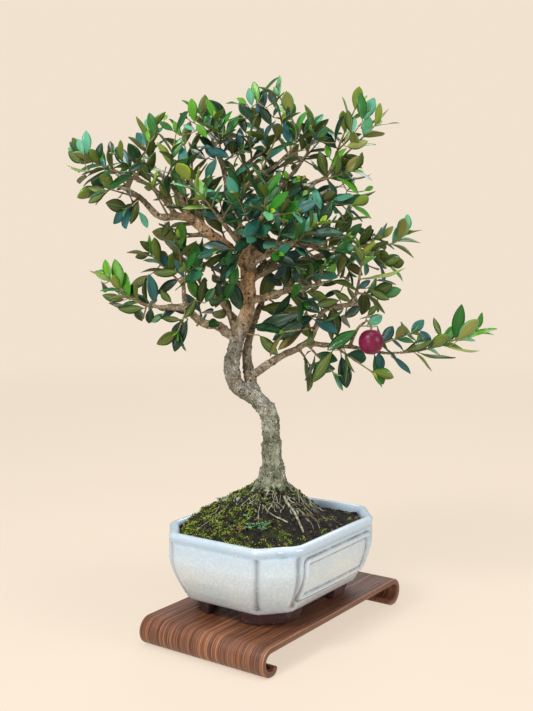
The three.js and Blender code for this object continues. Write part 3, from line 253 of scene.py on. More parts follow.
# Leaves that stand out in the photo: depth in the tree's frame, then root and tip in the photo's pixels
SEEN_LEAVES = {
    "left_tip": (-34, [
        (87, 155, 86.6, 130, "mint"), (83.7, 155, 77.5, 138.7, "mint"), (78, 154, 69.4, 141.6, "teal"),
        (75, 153, 68, 146.8, "bright"), (84.7, 163.6, 68.4, 152, "olive"),
        (89.5, 172, 66, 167.4, "gold thin"), (97, 161.7, 101, 142.5, "dark"),
        (112.4, 156, 110, 140.6, "dark"), (104.8, 167.4, 101.9, 157.8, "teal"),
        (104.8, 171, 81.3, 184.6, "teal thin"), (106.7, 190.4, 88, 188.5, "gold"),
        (105.7, 191.3, 88.5, 203.8, "olive"), (138.3, 200, 130.6, 223.9, "olive"),
        (138.3, 210.5, 148.3, 227.2, "mint thin"), (148.8, 142.5, 147.3, 130, "bright"),
        (141, 145.4, 137.3, 132, "teal"), (154.5, 135.8, 149.7, 112, "green thin"),
        (146, 163, 128, 170, "dark"), (120, 172, 132, 160, "olive")]),
    "left_twig": (-6, [
        (165, 254, 139, 243, "olive"), (150.7, 252.6, 135.4, 258.3, "olive"),
        (161.2, 238.2, 169.8, 221, "olive"), (173, 259, 186, 234, "green"), (197, 269, 197, 244, "green"),
        (180, 271, 153, 274, "olive"), (180, 278, 156, 293, "dark")]),
    "top_left": (2, [
        (226.7, 121, 209, 99, "dark"), (194, 123, 191.5, 98, "bright"),
        (203.3, 126, 212, 105.7, "green thin"), (200.2, 114, 208, 105.7, "green thin"),
        (188, 119, 179.8, 113, "dark"), (196, 131, 183, 124, "mint"),
        (179.8, 135.3, 173.7, 121, "bright"), (163.5, 121, 167, 114.4, "bright"),
        (173.7, 131.2, 159.4, 121, "green"), (207.3, 138.4, 197, 123.6, "bright"),
        (186, 143, 172, 150, "teal thin"), (213, 131, 224, 118, "green")]),
    "top": (-6, [
        (258, 102.7, 253.3, 80.7, "bright"), (252.2, 106.7, 248.7, 88, "mint"),
        (262.4, 94.5, 277.2, 75.6, "green thin"), (266.5, 107.8, 285.4, 94, "olive thin"),
        (272.7, 117, 285, 100.6, "teal thin"), (254.3, 120, 240, 104.2, "dark"),
        (271.6, 126, 260.4, 105.2, "dark"), (247, 104.2, 237, 97.6, "bright"),
        (239, 103.7, 225.7, 102, "green thin"), (292, 119, 294, 103.7, "green"),
        (287, 118, 288.5, 106.7, "dark"), (290, 145.5, 287, 119, "teal"),
        (298.2, 140.4, 291, 120, "green"), (283, 129.2, 288, 111.3, "teal thin"),
        (258.4, 114, 256.3, 105.2, "teal")]),
    "right_top": (-4, [
        (362.5, 121, 361, 91.6, "green"), (364, 121, 373.5, 97.5, "mint"),
        (361, 128.4, 390.8, 111.5, "gold thin"), (351.5, 133.5, 347, 110.4, "olive"),
        (351.5, 134.3, 355.5, 117.7, "mint"), (344, 143.8, 350.7, 130.6, "gold thin"),
        (345.6, 146.8, 368, 142.4, "gold"), (331.6, 162.2, 361, 158.5, "olive"),
        (331.6, 168.8, 345, 146.8, "bright thin"), (336.8, 148.2, 319, 131.7, "dark"),
        (341.2, 141, 326.5, 129.5, "teal thin"), (325.7, 143.8, 309.6, 130.6, "dark"),
        (327.2, 177, 318.4, 151.2, "olive"), (329.4, 158.5, 326.5, 143, "bright"),
        (345, 182.8, 339, 164.4, "dark"), (341.2, 180, 371.7, 177.6, "olive thin"),
        (331, 187.2, 349.3, 185.4, "teal thin"), (347, 191, 355.5, 182, "gold thin"),
        (347, 183.5, 356, 177.6, "teal"), (344, 197.5, 375.7, 194.6, "olive thin"),
        (364, 191, 373.5, 186.5, "bright"), (304.4, 132, 310.3, 116.6, "green"),
        (311.8, 125.4, 321.7, 113, "green thin")]),
    "low_right": (-20, [
        (303.5, 313, 255, 329, "dark"), (316, 314, 273, 339, "dark"), (313, 319, 338, 331, "teal"),
        (358, 329, 327, 349, "green"), (366, 326, 382.5, 315, "mint"), (367, 316, 377, 306, "olive"),
        (368, 288, 389, 300, "olive"), (358, 289, 370, 280, "teal"), (361, 279, 406, 273, "gold thin"),
        (376, 280, 397, 283, "teal thin"), (333, 350, 313, 382, "olive"), (341, 355, 348, 388, "dark"),
        (344, 349, 352, 373, "olive thin"), (374, 354, 384, 385, "green"), (378, 352, 382, 372, "teal"),
        (377, 326, 386, 351, "olive thin"), (259, 335, 277, 355, "olive"), (340, 300, 316, 306, "olive"),
        (333, 290, 350, 302, "olive"), (345, 318, 360, 306, "dark"), (322, 322, 344, 312, "olive thin")]),
    "long_branch": (-12, [
        (404, 351, 390, 336, "teal thin"), (416, 341, 399, 323, "olive thin"),
        (405, 351, 432, 341, "olive"), (432, 347, 421, 331, "teal"), (433, 348, 450, 338, "olive thin"),
        (442, 338, 433, 318, "olive thin"), (455, 340, 461, 305, "green"), (457, 341, 478, 318, "gold"),
        (466, 339, 496, 326, "bright thin"), (448, 347, 479, 354, "gold thin"),
        (418, 353, 455, 361, "olive thin"), (391, 356, 412, 372, "teal thin")]),
    "low_left": (-17, [
        (121, 288, 115, 259, "bright"), (112, 282, 94.5, 270, "bright"),
        (110, 281, 101, 268, "green thin"), (125, 300, 102, 296, "olive"), (128, 297, 133, 284, "dark"),
        (130, 300, 136, 290, "olive"), (147, 304, 144, 276, "olive thin"), (145, 308, 118, 310, "olive"),
        (151, 307, 149, 324, "dark"), (165, 313, 151, 322, "green"), (181, 320, 161, 318, "olive"),
        (188, 319, 173, 351, "dark"), (240, 242, 219, 282, "dark"), (229, 278, 241, 310, "dark"),
        (172, 303, 160, 290, "olive"), (196, 300, 186, 318, "olive"), (205, 303, 214, 288, "green")]),
    "top_hollow": (8, [
        (238, 156, 224, 136, "dark"), (240, 152, 240, 128, "teal"), (243, 154, 257, 134, "dark"),
        (230, 158, 208, 148, "teal"), (214, 150, 200, 136, "dark"), (222, 142, 212, 122, "dark"),
        (250, 146, 264, 128, "teal"), (226, 134, 238, 116, "green"), (246, 134, 240, 114, "dark"),
        (206, 160, 190, 148, "dark"), (252, 158, 270, 146, "dark"), (216, 160, 206, 144, "teal")]),
}
# Each look's young, blue and underside values. Blue mixes a painted bluish reflection into a top, and a gold
# tint into an underside.
LOOKS = {"dark": (0.08, 0.3, False), "teal": (0.12, 1.0, False), "green": (0.45, 0.2, False),
    "bright": (0.72, 0.1, False), "mint": (0.56, 1.0, False), "olive": (0.35, 0.3, True),
    "gold": (0.8, 0.9, True)}

# How young a spray's leaves are: 0 is old and blue-green, 1 is fresh and yellow-green.
YOUNG = {"front_left_tip": 0.86, "far_left": 0.42, "left_lower": 0.3, "left_crown": 0.5, "crown_top": 0.48,
         "upper_right": 0.55, "upper_right_reach": 0.55, "long_tip": 0.55, "riser_tip": 0.6,
         "riser_leaves": 0.35, "dark_pair": 0.0, "low_left_hanging": 0.05, "left_hanging": 0.02,
         "crown_left": 0.55, "low_left_tip": 0.5, "right_reach": 0.5, "right_high": 0.45}
YOUNG_USUAL = 0.27

# The crown's outline in the photo, corner by corner in pixels, and the places in it that stay open.
CROWN_OUTLINE = [(66, 137), (80, 130), (93, 150), (108, 142), (120, 138), (135, 130), (150, 119),
    (165, 113), (182, 115), (189, 98), (208, 104), (225, 100), (240, 104), (247, 84), (256, 80),
    (262, 88), (277, 75), (282, 78), (272, 101), (288, 100), (300, 114), (322, 118), (338, 130),
    (342, 112), (352, 112), (361, 92), (373, 96), (375, 108), (390, 111), (372, 121), (360, 136),
    (358, 150), (364, 170), (374, 192), (368, 206), (371, 220), (384, 224), (397, 218), (422, 228),
    (402, 248), (406, 272), (388, 283), (372, 298), (384, 320), (402, 334), (420, 324), (448, 328),
    (462, 303), (474, 316), (497, 328), (480, 352), (440, 354), (392, 352), (386, 384), (350, 388),
    (320, 381), (308, 352), (284, 330), (262, 318), (236, 322), (215, 326), (186, 322), (176, 352),
    (160, 346), (158, 322), (120, 314), (102, 300), (92, 270), (118, 260), (132, 284), (146, 276),
    (142, 250), (150, 238), (128, 222), (112, 210), (90, 203), (80, 188), (78, 170), (64, 168)]
OPEN_PLACES = {"bare_trunk": (236, 250, 260, 325), "under_left_branch": (172, 221, 202, 236),
    "left_notch": (128, 214, 152, 236), "low_left_gap": (158, 284, 174, 302),
    "by_the_trunk": (196, 285, 214, 302), "branch_left": (146, 205, 174, 220),
    "branch_middle": (174, 210, 204, 226), "branch_right": (204, 222, 232, 246),
    "left_upper_notch": (148, 252, 171, 268), "left_lower_notch": (154, 272, 173, 304),
    "by_hanging_leaf": (150, 318, 170, 348), "fruit": (346, 318, 384, 360)}

# Extra leafy twigs that fill the crown: [branch, first place, last place, number]
FILLERS = [["left_main", 0.25, 0.9, 17], ["left_upper", 0.1, 1.0, 14], ["left_riser", 0.15, 1.0, 14],
    ["left_back", 0.2, 1.0, 12], ["front_left", 0.25, 1.0, 6], ["top_centre", 0.2, 1.0, 25],
    ["top_arm", 0.1, 1.0, 12], ["top_front", 0.15, 1.0, 15], ["right_main", 0.15, 1.0, 17],
    ["right_top", 0.15, 0.85, 11], ["right_cut", 0.2, 0.9, 9], ["right_mid", 0.3, 1.0, 7],
    ["right_rear", 0.2, 1.0, 7], ["right_reach", 0.1, 1.0, 9], ["right_low", 0.4, 1.0, 5],
    ["back_right", 0.2, 1.0, 7], ["back_top", 0.2, 1.0, 10], ["back_left", 0.2, 1.0, 9],
    ["back_low_left", 0.3, 1.0, 5], ["front_top", 0.2, 1.0, 9], ["front_right", 0.2, 1.0, 6],
    ["second_stem", 0.7, 1.0, 4], ["inner_left", 0.4, 1.0, 3], ["low_left_riser", 0.3, 1.0, 2]]


# ---------------------------------------------------------------- vectors and random draws
def add(a, b, k=1.0):
    return (a[0] + b[0] * k, a[1] + b[1] * k, a[2] + b[2] * k)


def sub(a, b):
    return add(a, b, -1.0)


def scaled(a, k):
    return (a[0] * k, a[1] * k, a[2] * k)


def dot(a, b):
    return a[0] * b[0] + a[1] * b[1] + a[2] * b[2]


def cross(a, b):
    return (a[1] * b[2] - a[2] * b[1], a[2] * b[0] - a[0] * b[2], a[0] * b[1] - a[1] * b[0])


def length(a):
    return math.sqrt(dot(a, a))


def unit(a):
    return scaled(a, 1 / length(a))


def mix(a, b, t):
    return a + (b - a) * t


def between(a, b, t):
    return add(scaled(a, 1 - t), b, t)


def turned(x, y, turn):
    """A point turned about the upright axis."""
    return x * math.cos(turn) - y * math.sin(turn), x * math.sin(turn) + y * math.cos(turn)


def out_from(centre, angle, reach):
    """The point at a distance from a centre in the plane, in the direction of an angle."""
    return centre[0] + reach * math.cos(angle), centre[1] + reach * math.sin(angle)


def swung(a, b, angle):
    """The direction at an angle from a towards b, which is square to it."""
    return add(scaled(a, math.cos(angle)), b, math.sin(angle))


def square_to(axis, towards):
    """The direction square to an axis that leans towards a vector."""
    return unit(sub(towards, scaled(axis, dot(towards, axis))))


def clamped(x):
    return max(0.0, min(1.0, x))


def bell(x, width):
    return math.exp(-(x / width) ** 2)


def rounded(x):
    return math.floor(x + 0.5)


def seeded(seed):
    """The same run of numbers from 0 to 1 as the solids' source draws."""
    state = seed & 0xFFFFFFFF
    while True:
        state = (state + 0x6D2B79F5) & 0xFFFFFFFF
        t = ((state ^ (state >> 15)) * (state | 1)) & 0xFFFFFFFF
        t ^= (t + (((t ^ (t >> 7)) * (t | 61)) & 0xFFFFFFFF)) & 0xFFFFFFFF
        yield (t ^ (t >> 14)) / 4294967296


def about(draw, width=1.0):
    """A random number as often above nought as below it, at most half of width away."""
    return (next(draw) - 0.5) * width


# ---------------------------------------------------------------- pieces
def in_row_frame(points, turn=0.0):
    """Millimetres in a frame turned about the stand's middle, as metres in the row frame."""
    p = np.asarray(points, float).reshape(-1, 3)
    return np.stack([*turned(p[:, 0], p[:, 1], turn), p[:, 2]], 1) * MM + MIDDLE


def placed(name, data, at=None, turn=None):
    """A new object in the scene, moved to a place and turned by a quaternion where they are given."""
    obj = bpy.data.objects.new(name, data)
    bpy.context.scene.collection.objects.link(obj)
    if at is not None:
        obj.location = at
        obj.rotation_mode = "QUATERNION"
        obj.rotation_quaternion = turn
    return obj


def lay(mesh, key, values):
    """Stores a vector at each vertex."""
    layer = mesh.attributes.new(key, "FLOAT_VECTOR", "POINT")
    layer.data.foreach_set("vector", np.asarray(values, np.float32).ravel())


def search_tree(places):
    tree = kdtree.KDTree(len(places))
    for i, place in enumerate(places):
        tree.insert(place, i)
    tree.balance()
    return tree


def piece(name, points, faces, finishes, replaces=(), turn=0.0, looks=None, spots=None):
    """A mesh piece of the part. looks picks each face's finish, spots are vectors at the points."""
    mesh = bpy.data.meshes.new(name)
    mesh.from_pydata(in_row_frame(points, turn).tolist(), [], [list(f) for f in faces])
    for finish in finishes:
        mesh.materials.append(finish)
    if looks:
        mesh.polygons.foreach_set("material_index", np.asarray(looks, np.int32))
    for key, values in (spots or {}).items():
        lay(mesh, key, values)
    mesh.update()
    return keep(name, mesh, replaces)


def keep(name, mesh, replaces=()):
    """Puts a mesh in the scene as a smooth piece that rides with the part."""
    obj = placed(name, mesh)
    mesh.shade_smooth()
    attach(obj, "root")
    if replaces:
        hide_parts(*replaces)
    return obj


def baked(obj):
    """The object's mesh with its modifiers applied."""
    bpy.context.view_layer.update()
    mesh = bpy.data.meshes.new_from_object(obj.evaluated_get(bpy.context.evaluated_depsgraph_get()))
    obj.modifiers.clear()
    return mesh


class Shape:
    """Points and faces gathered into one piece, with a finish for each face and vectors at the points."""

    def __init__(self):
        self.points, self.faces, self.looks, self.spots = [], [], [], {}
        self.count = 0

    def add(self, points, faces, look=0, **spots):
        self.points.append(np.asarray(points, float).reshape(-1, 3))
        self.faces += [[self.count + i for i in face] for face in faces]
        self.looks += [look] * len(faces)
        self.count += len(self.points[-1])
        for key, values in spots.items():
            self.spots.setdefault(key, []).append(np.asarray(values, float))

    def tube(self, path, sides, wobble=0.0, look=0, **spots):
        self.add(tube_points(path, sides, wobble), loft_faces(len(path), sides), look, **spots)

    def piece(self, name, finishes, slot, replaces=(), turn=TREE_TURN):
        spots = {key: np.concatenate(values) for key, values in self.spots.items()}
        points = np.concatenate(self.points)
        piece(name, points, self.faces, finishes, replaces, turn, self.looks, spots)


def loft_faces(rings, count):
    """Quads between rings of equal count, and the two end faces."""
    faces = []
    for r in range(rings - 1):
        for i in range(count):
            a, b = r * count + i, r * count + (i + 1) % count
            faces.append((a, b, b + count, a + count))
    return faces + [tuple(reversed(range(count))), tuple(range((rings - 1) * count, rings * count))]


def unit_ball(subdivisions):
    """Points and faces of a ball with a radius of 1."""
    bm = bmesh.new()
    bmesh.ops.create_icosphere(bm, subdivisions=subdivisions, radius=1.0)
    points = [v.co.copy() for v in bm.verts]
    faces = [[v.index for v in face.verts] for face in bm.faces]
    bm.free()
    return points, faces


# ---------------------------------------------------------------- finishes
def srgb(*screen):
    """A colour from its screen values, 0 to 255."""
    parts = (c / 255 for c in screen)
    return (*(p / 12.92 if p * 255 <= 10.3 else ((p + 0.055) / 1.055) ** 2.4 for p in parts), 1.0)


def colour_of(value):
    """A trio of screen values as a colour, and anything else as it is."""
    return srgb(*value) if isinstance(value, tuple) and len(value) == 3 else value


class Finish:
    """A material and its nodes."""

    def __init__(self, name, **shader):
        self.material = bpy.data.materials.new(name)
        self.material.use_nodes = True
        self.tree = self.material.node_tree
        self.shader = self.tree.nodes["Principled BSDF"]
        for key, value in shader.items():
            self.shader.inputs[key.replace("_", " ")].default_value = value

    def add(self, kind, inputs=(), **settings):
        node = self.tree.nodes.new("ShaderNode" + kind)
        for key, value in settings.items():
            setattr(node, key, value)
        for key, value in dict(inputs).items():
            self.feed(node.inputs[key], value)
        return node

    def feed(self, socket, value):
        if isinstance(value, bpy.types.NodeSocket):
            self.tree.links.new(value, socket)
        else:
            socket.default_value = value

    def place(self, stretch=(1, 1, 1), attribute=None):
        """The row frame's metres, or a named attribute, stretched along each axis."""
        if attribute:
            source = self.add("Attribute", attribute_name=attribute).outputs["Vector"]
        else:
            source = self.add("TexCoord").outputs["Object"]
        return self.add("Mapping", {"Vector": source, "Scale": stretch}).outputs["Vector"]

    def parts(self, attribute):
        source = self.add("Attribute", attribute_name=attribute).outputs["Vector"]
        return self.add("SeparateXYZ", {"Vector": source}).outputs

    def noise(self, at, scale, detail=4.0, rough=0.55, twist=0.0):
        found = self.add("TexNoise", {"Vector": at, "Scale": scale, "Detail": detail, "Roughness": rough,
                                      "Distortion": twist})
        return found.outputs["Fac"]

    def cells(self, at, scale, feature="F1"):
        return self.add("TexVoronoi", {"Vector": at, "Scale": scale}, feature=feature).outputs["Distance"]

    def ramp(self, fac, stops):
        """Greys, from 0 to 1, or colours, as screen values, at places from 0 to 1."""
        node = self.add("ValToRGB", {"Fac": fac})
        line = node.color_ramp
        while len(line.elements) < len(stops):
            line.elements.new(0.5)
        for element, (place, colour) in zip(line.elements, stops):
            element.position = place
            element.color = colour_of(colour) if isinstance(colour, tuple) else (*[colour] * 3, 1.0)
        return node.outputs["Color"]

    def mix(self, fac, a, b, blend="MIX"):
        node = self.add("Mix", data_type="RGBA", blend_type=blend)
        self.feed(node.inputs[0], fac)
        self.feed(node.inputs[6], colour_of(a))
        self.feed(node.inputs[7], colour_of(b))
        return node.outputs[2]

    def math(self, kind, a, b=0.0):
        node = self.add("Math", operation=kind)
        self.feed(node.inputs[0], a)
        self.feed(node.inputs[1], b)
        return node.outputs[0]

    def times(self, a, b):
        return self.math("MULTIPLY", a, b)

    def patches(self, at, scale, stops, detail=4.0, rough=0.55):
        """Noise put through a ramp."""
        return self.ramp(self.noise(at, scale, detail, rough), stops)

    def bump(self, height, strength, distance, over=None):
        node = self.add("Bump", {"Height": height, "Strength": strength, "Distance": distance})
        if over is not None:
            self.feed(node.inputs["Normal"], over)
        return node.outputs["Normal"]

    def wear(self, **sockets):
        """Feeds the shader's own sockets."""
        for key, value in sockets.items():
            self.feed(self.shader.inputs[key.replace("_", " ")], value)
        return self.material


def walnut_finish():
    f = Finish("walnut", Roughness=0.34, Coat_Weight=0.14, Coat_Roughness=0.18)
    grain = f.place((0.55, 14.0, 6.0), "board")
    fine = f.noise(f.place((1.6, 110.0, 20.0), "board"), 1.0, 6.0, 0.65)
    bands = f.noise(grain, 3.2, 5.0, 0.6, 0.5)
    streak = f.noise(f.place((0.3, 120.0, 10.0), "board"), 2.0, 5.0, 0.6, 0.3)
    base = f.ramp(bands, [(0.28, (80, 44, 28)), (0.45, (124, 74, 46)), (0.58, (158, 98, 62)),
                          (0.76, (196, 134, 90))])
    darks = f.ramp(streak, [(0.36, (44, 26, 20)), (0.46, (170, 150, 138)), (0.53, (255, 255, 255))])
    lights = f.ramp(streak, [(0.55, 0.0), (0.64, 0.6)])
    colour = f.mix(0.9, base, darks, "MULTIPLY")
    colour = f.mix(lights, colour, (208, 148, 106))
    colour = f.mix(f.ramp(fine, [(0.40, 0.7), (0.56, 0.0)]), colour, (44, 26, 20))
    pores = f.ramp(fine, [(0.35, 0.0), (0.6, 1.0)])
    depth = f.parts("edge")
    plies = f.ramp(depth["Y"], [(0.0, (96, 58, 42)), (0.3, (140, 90, 62)), (0.36, (92, 54, 38)),
                                (0.62, (134, 86, 60)), (0.68, (84, 48, 34)), (0.9, (150, 98, 68)),
                                (0.99, (196, 142, 104))])
    grainy = f.mix(0.45, plies, f.ramp(fine, [(0.35, (90, 60, 50)), (0.65, (255, 250, 245))]), "MULTIPLY")
    colour = f.mix(depth["X"], colour, grainy)
    rubs = f.noise(f.place(), 260.0, 3.0, 0.6)
    worn = f.times(depth["Z"], f.ramp(rubs, [(0.60, 0.0), (0.68, 1.0)]))
    colour = f.mix(f.times(worn, 0.35), colour, (196, 160, 134))
    rough = f.ramp(fine, [(0.3, 0.6), (0.7, 0.38)])
    return f.wear(Base_Color=colour, Roughness=rough, Normal=f.bump(pores, 0.25, 0.0003))


def glaze_finish():
    f = Finish("glaze", Roughness=0.22, Coat_Weight=0.5, Coat_Roughness=0.08)
    at = f.place()
    cloud = f.noise(at, 22.0, 3.0, 0.5)
    mottle = f.noise(at, 420.0, 3.0, 0.65)
    fleck = f.noise(at, 900.0, 2.0, 0.5)
    traits = f.parts("glaze")
    colour = f.ramp(cloud, [(0.34, (184, 197, 206)), (0.5, (193, 203, 208)), (0.66, (201, 206, 204))])
    colour = f.mix(f.ramp(mottle, [(0.44, 0.0), (0.66, 0.5)]), colour, (220, 229, 233))
    colour = f.mix(f.ramp(fleck, [(0.30, 0.4), (0.42, 0.0)]), colour, (174, 186, 193))
    # first trait: blue glaze, up the wall and strongest just under the lip; the lip's top keeps little of
    # it, a painted highlight, and the corner grooves get a little more, with their painted shade
    thin = f.times(traits["X"], f.ramp(mottle, [(0.3, 1.0), (0.75, 0.75)]))
    colour = f.mix(thin, colour, (176, 200, 220))
    # second trait: darker grey-blue in the corner grooves and in a band just under the lip, painted shade
    painted_shade_lines = f.times(traits["Y"], f.patches(at, 160.0, [(0.3, 0.8), (0.6, 1.0)]))
    colour = f.mix(painted_shade_lines, colour, (154, 165, 172))
    # third trait: brownish marks where the corner grooves meet the foot, and a line round each panel that is
    # partly the glaze's own brownish line and partly painted shade in its recesses
    stain_and_painted_shade = f.times(traits["Z"], f.patches(at, 90.0, [(0.36, 0.5), (0.58, 0.9)]))
    colour = f.mix(stain_and_painted_shade, colour, (112, 100, 88))
    hole = f.ramp(f.cells(at, 62.0), [(0.035, 1.0), (0.055, 0.0)])
    rare = f.patches(at, 70.0, [(0.60, 0.0), (0.62, 1.0)], 0.0)
    pinholes = f.times(hole, rare)
    colour = f.mix(pinholes, colour, (70, 62, 56))
    dots = f.patches(at, 620.0, [(0.66, 0.0), (0.70, 1.0)], 1.0)
    dots = f.times(dots, f.ramp(cloud, [(0.4, 0.1), (0.55, 0.5)]))
    colour = f.mix(dots, colour, (236, 240, 238))
    skin = f.bump(f.noise(at, 150.0, 3.0), 0.10, 0.0012)
    return f.wear(Base_Color=colour, Normal=f.bump(pinholes, -0.5, 0.0006, skin))


def clay_finish():
    f = Finish("bare_clay", Roughness=0.62)
    at = f.place()
    colour = f.patches(at, 90.0, [(0.3, (52, 32, 34)), (0.55, (78, 50, 50)), (0.75, (104, 74, 70))], 5.0)
    speck = f.patches(at, 700.0, [(0.62, 0.0), (0.7, 0.6)], 2.0)
    colour = f.mix(speck, colour, (150, 124, 112))
    return f.wear(Base_Color=colour, Normal=f.bump(f.noise(at, 500.0, 4.0), 0.35, 0.0008))


def bark_finish():
    """Grey-green at the foot, pale at the bend and tan above, with dark pits and whitish flecks. The tan
    above is made paler than the bark, as painted light, to make up for the shade that the crown casts on it.
    """
    f = Finish("bark", Roughness=0.8)
    at = f.place()
    traits = f.parts("bark")
    lump = f.noise(at, 90.0, 5.0, 0.62)
    grit = f.noise(at, 480.0, 4.0, 0.7)
    low = f.ramp(lump, [(0.3, (84, 82, 62)), (0.46, (130, 132, 106)), (0.6, (162, 168, 146)),
                        (0.76, (204, 210, 196))])
    middle = f.ramp(lump, [(0.3, (92, 80, 64)), (0.46, (130, 122, 104)), (0.6, (156, 152, 140)),
                           (0.76, (196, 194, 186))])
    # upper bark: tan, partly its own colour and partly painted light, made paler to make up for the crown's
    # shade
    high = f.ramp(lump, [(0.28, (146, 98, 60)), (0.44, (210, 158, 106)), (0.58, (236, 190, 138)),
                         (0.76, (246, 220, 182))])
    twig = f.ramp(lump, [(0.3, (96, 80, 56)), (0.5, (146, 126, 94)), (0.7, (186, 168, 134))])
    colour = f.mix(f.ramp(traits["X"], [(0.34, 0.0), (0.44, 1.0)]), low, middle)
    colour = f.mix(f.ramp(traits["X"], [(0.52, 0.0), (0.60, 1.0)]), colour, high)
    colour = f.mix(f.ramp(traits["Y"], [(0.30, 1.0), (0.62, 0.0)]), colour, twig)
    pits = f.ramp(f.cells(at, 230.0), [(0.2, 1.0), (0.3, 0.0)])
    pits = f.times(pits, f.patches(at, 120.0, [(0.42, 0.0), (0.48, 1.0)], 1.0))
    cracks = f.ramp(grit, [(0.34, 1.0), (0.44, 0.0)])
    dark = f.math("MAXIMUM", pits, cracks)
    colour = f.mix(f.times(dark, 0.85), colour, (62, 42, 28))
    flecks = f.patches(at, 700.0, [(0.60, 0.0), (0.66, 1.0)], 2.0)
    colour = f.mix(f.times(flecks, 0.7), colour, (226, 224, 210))
    crevices = f.times(traits["Z"], f.ramp(grit, [(0.4, 0.9), (0.6, 0.3)]))
    colour = f.mix(crevices, colour, (60, 46, 34))
    patch = f.noise(at, 110.0, 3.0, 0.6)
    mound = f.ramp(patch, [(0.40, (36, 28, 20)), (0.47, (70, 84, 22)), (0.54, (96, 112, 34)),
                           (0.60, (176, 182, 164))])
    ragged = f.math("SUBTRACT", traits["X"], f.times(patch, 0.02))
    colour = f.mix(f.ramp(ragged, [(0.245, 1.0), (0.262, 0.0)]), colour, mound)
    crackle = f.cells(f.place((1, 1, 0.5)), 330.0, "DISTANCE_TO_EDGE")
    rough = f.bump(f.ramp(crackle, [(0.0, 0.0), (0.14, 1.0)]), 0.5, 0.001)
    deep = f.bump(f.math("SUBTRACT", grit, pits), 0.8, 0.002, rough)
    return f.wear(Base_Color=colour, Normal=deep)


def leaf_finish():
    """Tops run from old blue-green to fresh yellow-green, with teal and mint mixed in by the second trait as
    a painted bluish reflection; undersides are olive with a pale midrib, turned gold by the same trait.
    """
    f = Finish("leaf", Specular_IOR_Level=0.3, Coat_Weight=0.2, Coat_Roughness=0.14)
    leaf, where = f.parts("leaf"), f.parts("blade")
    at = f.place()
    top = f.ramp(leaf["X"], [(0.0, (8, 36, 22)), (0.2, (12, 54, 24)), (0.42, (22, 86, 24)),
                             (0.6, (50, 128, 22)), (0.78, (98, 158, 30)), (1.0, (166, 188, 48))])
    # teal to mint, mixed into the tops by the blue trait: a painted reflection of the bright light from
    # above
    painted_sky_reflection = f.ramp(leaf["X"], [(0.0, (26, 76, 86)), (0.3, (44, 108, 108)), (0.6, (100, 174, 140))])
    top = f.mix(f.ramp(leaf["Y"], [(0.5, 0.0), (0.95, 0.85)]), top, painted_sky_reflection)
    below = f.ramp(leaf["X"], [(0.0, (54, 68, 24)), (0.4, (82, 100, 34)), (0.8, (134, 148, 58))])
    below = f.mix(f.ramp(leaf["Y"], [(0.6, 0.0), (1.0, 0.7)]), below, (134, 120, 62))
    patch = f.noise(at, 160.0, 3.0)
    top = f.mix(f.ramp(patch, [(0.45, 0.0), (0.8, 0.25)]), top, (78, 120, 66))
    rib = f.math("ABSOLUTE", where["X"])
    top = f.mix(f.ramp(rib, [(0.015, 0.35), (0.05, 0.0)]), top, (104, 142, 86))
    below = f.mix(f.ramp(rib, [(0.02, 0.5), (0.08, 0.0)]), below, (150, 152, 96))
    slant = f.math("SUBTRACT", f.times(where["Y"], 24.0), f.times(rib, 5.0))
    veins = f.math("SINE", f.times(slant, 3.14159))
    colour = f.mix(leaf["Z"], top, below)
    rough = f.mix(leaf["Z"], (0.38, 0.38, 0.38, 1.0), (0.64, 0.64, 0.64, 1.0))
    skin = f.bump(f.noise(at, 900.0), 0.05, 0.0004, f.bump(veins, 0.08, 0.0004))
    return f.wear(Base_Color=colour, Roughness=rough, Normal=skin)


def twig_finish():
    f = Finish("twig", Roughness=0.7)
    at = f.place()
    traits = f.parts("leaf")
    cloud = f.noise(at, 260.0)
    old = f.ramp(cloud, [(0.3, (104, 84, 58)), (0.6, (150, 128, 90)), (0.8, (178, 160, 124))])
    fresh = f.ramp(cloud, [(0.3, (88, 98, 48)), (0.7, (128, 136, 76))])
    return f.wear(Base_Color=f.mix(traits["X"], old, fresh), Normal=f.bump(f.noise(at, 800.0), 0.4, 0.0004))


def fruit_finish():
    f = Finish("fruit", Roughness=0.4, Specular_IOR_Level=0.3, Coat_Weight=0.1, Coat_Roughness=0.14)
    at = f.place()
    blush = f.noise(at, 55.0, 4.0, 0.6)
    colour = f.ramp(blush, [(0.3, (60, 2, 20)), (0.5, (98, 4, 40)), (0.68, (124, 12, 66))])
    dots = f.ramp(f.cells(at, 640.0), [(0.08, 0.6), (0.16, 0.0)])
    colour = f.mix(dots, colour, (190, 104, 128))
    bloom = f.patches(at, 120.0, [(0.5, 0.0), (0.75, 0.1)], 5.0)
    colour = f.mix(bloom, colour, (168, 60, 128))
    return f.wear(Base_Color=colour, Normal=f.bump(f.noise(at, 300.0), 0.06, 0.0006))


def earth_finish():
    f = Finish("earth", Roughness=0.95)
    at = f.place()
    colour = f.patches(at, 220.0, [(0.3, (6, 5, 4)), (0.5, (20, 15, 11)), (0.64, (42, 32, 24)),
                                   (0.78, (96, 80, 62))], 6.0, 0.65)
    green = f.patches(at, 130.0, [(0.47, 0.0), (0.66, 0.7)])
    green = f.times(f.parts("soil")["X"], green)
    colour = f.mix(green, colour, f.patches(at, 500.0, [(0.3, (36, 46, 12)), (0.7, (88, 104, 26))]))
    return f.wear(Base_Color=colour, Normal=f.bump(f.noise(at, 480.0, 6.0, 0.7), 0.9, 0.0016))


def crumb_finish():
    f = Finish("crumb", Roughness=0.9)
    at = f.place()
    tone = f.patches(at, 140.0, [(0.3, (14, 11, 8)), (0.5, (36, 27, 20)), (0.64, (74, 58, 42)),
                                 (0.74, (140, 120, 94))], 1.0)
    return f.wear(Base_Color=tone, Normal=f.bump(f.noise(at, 900.0, 4.0), 0.6, 0.0005))


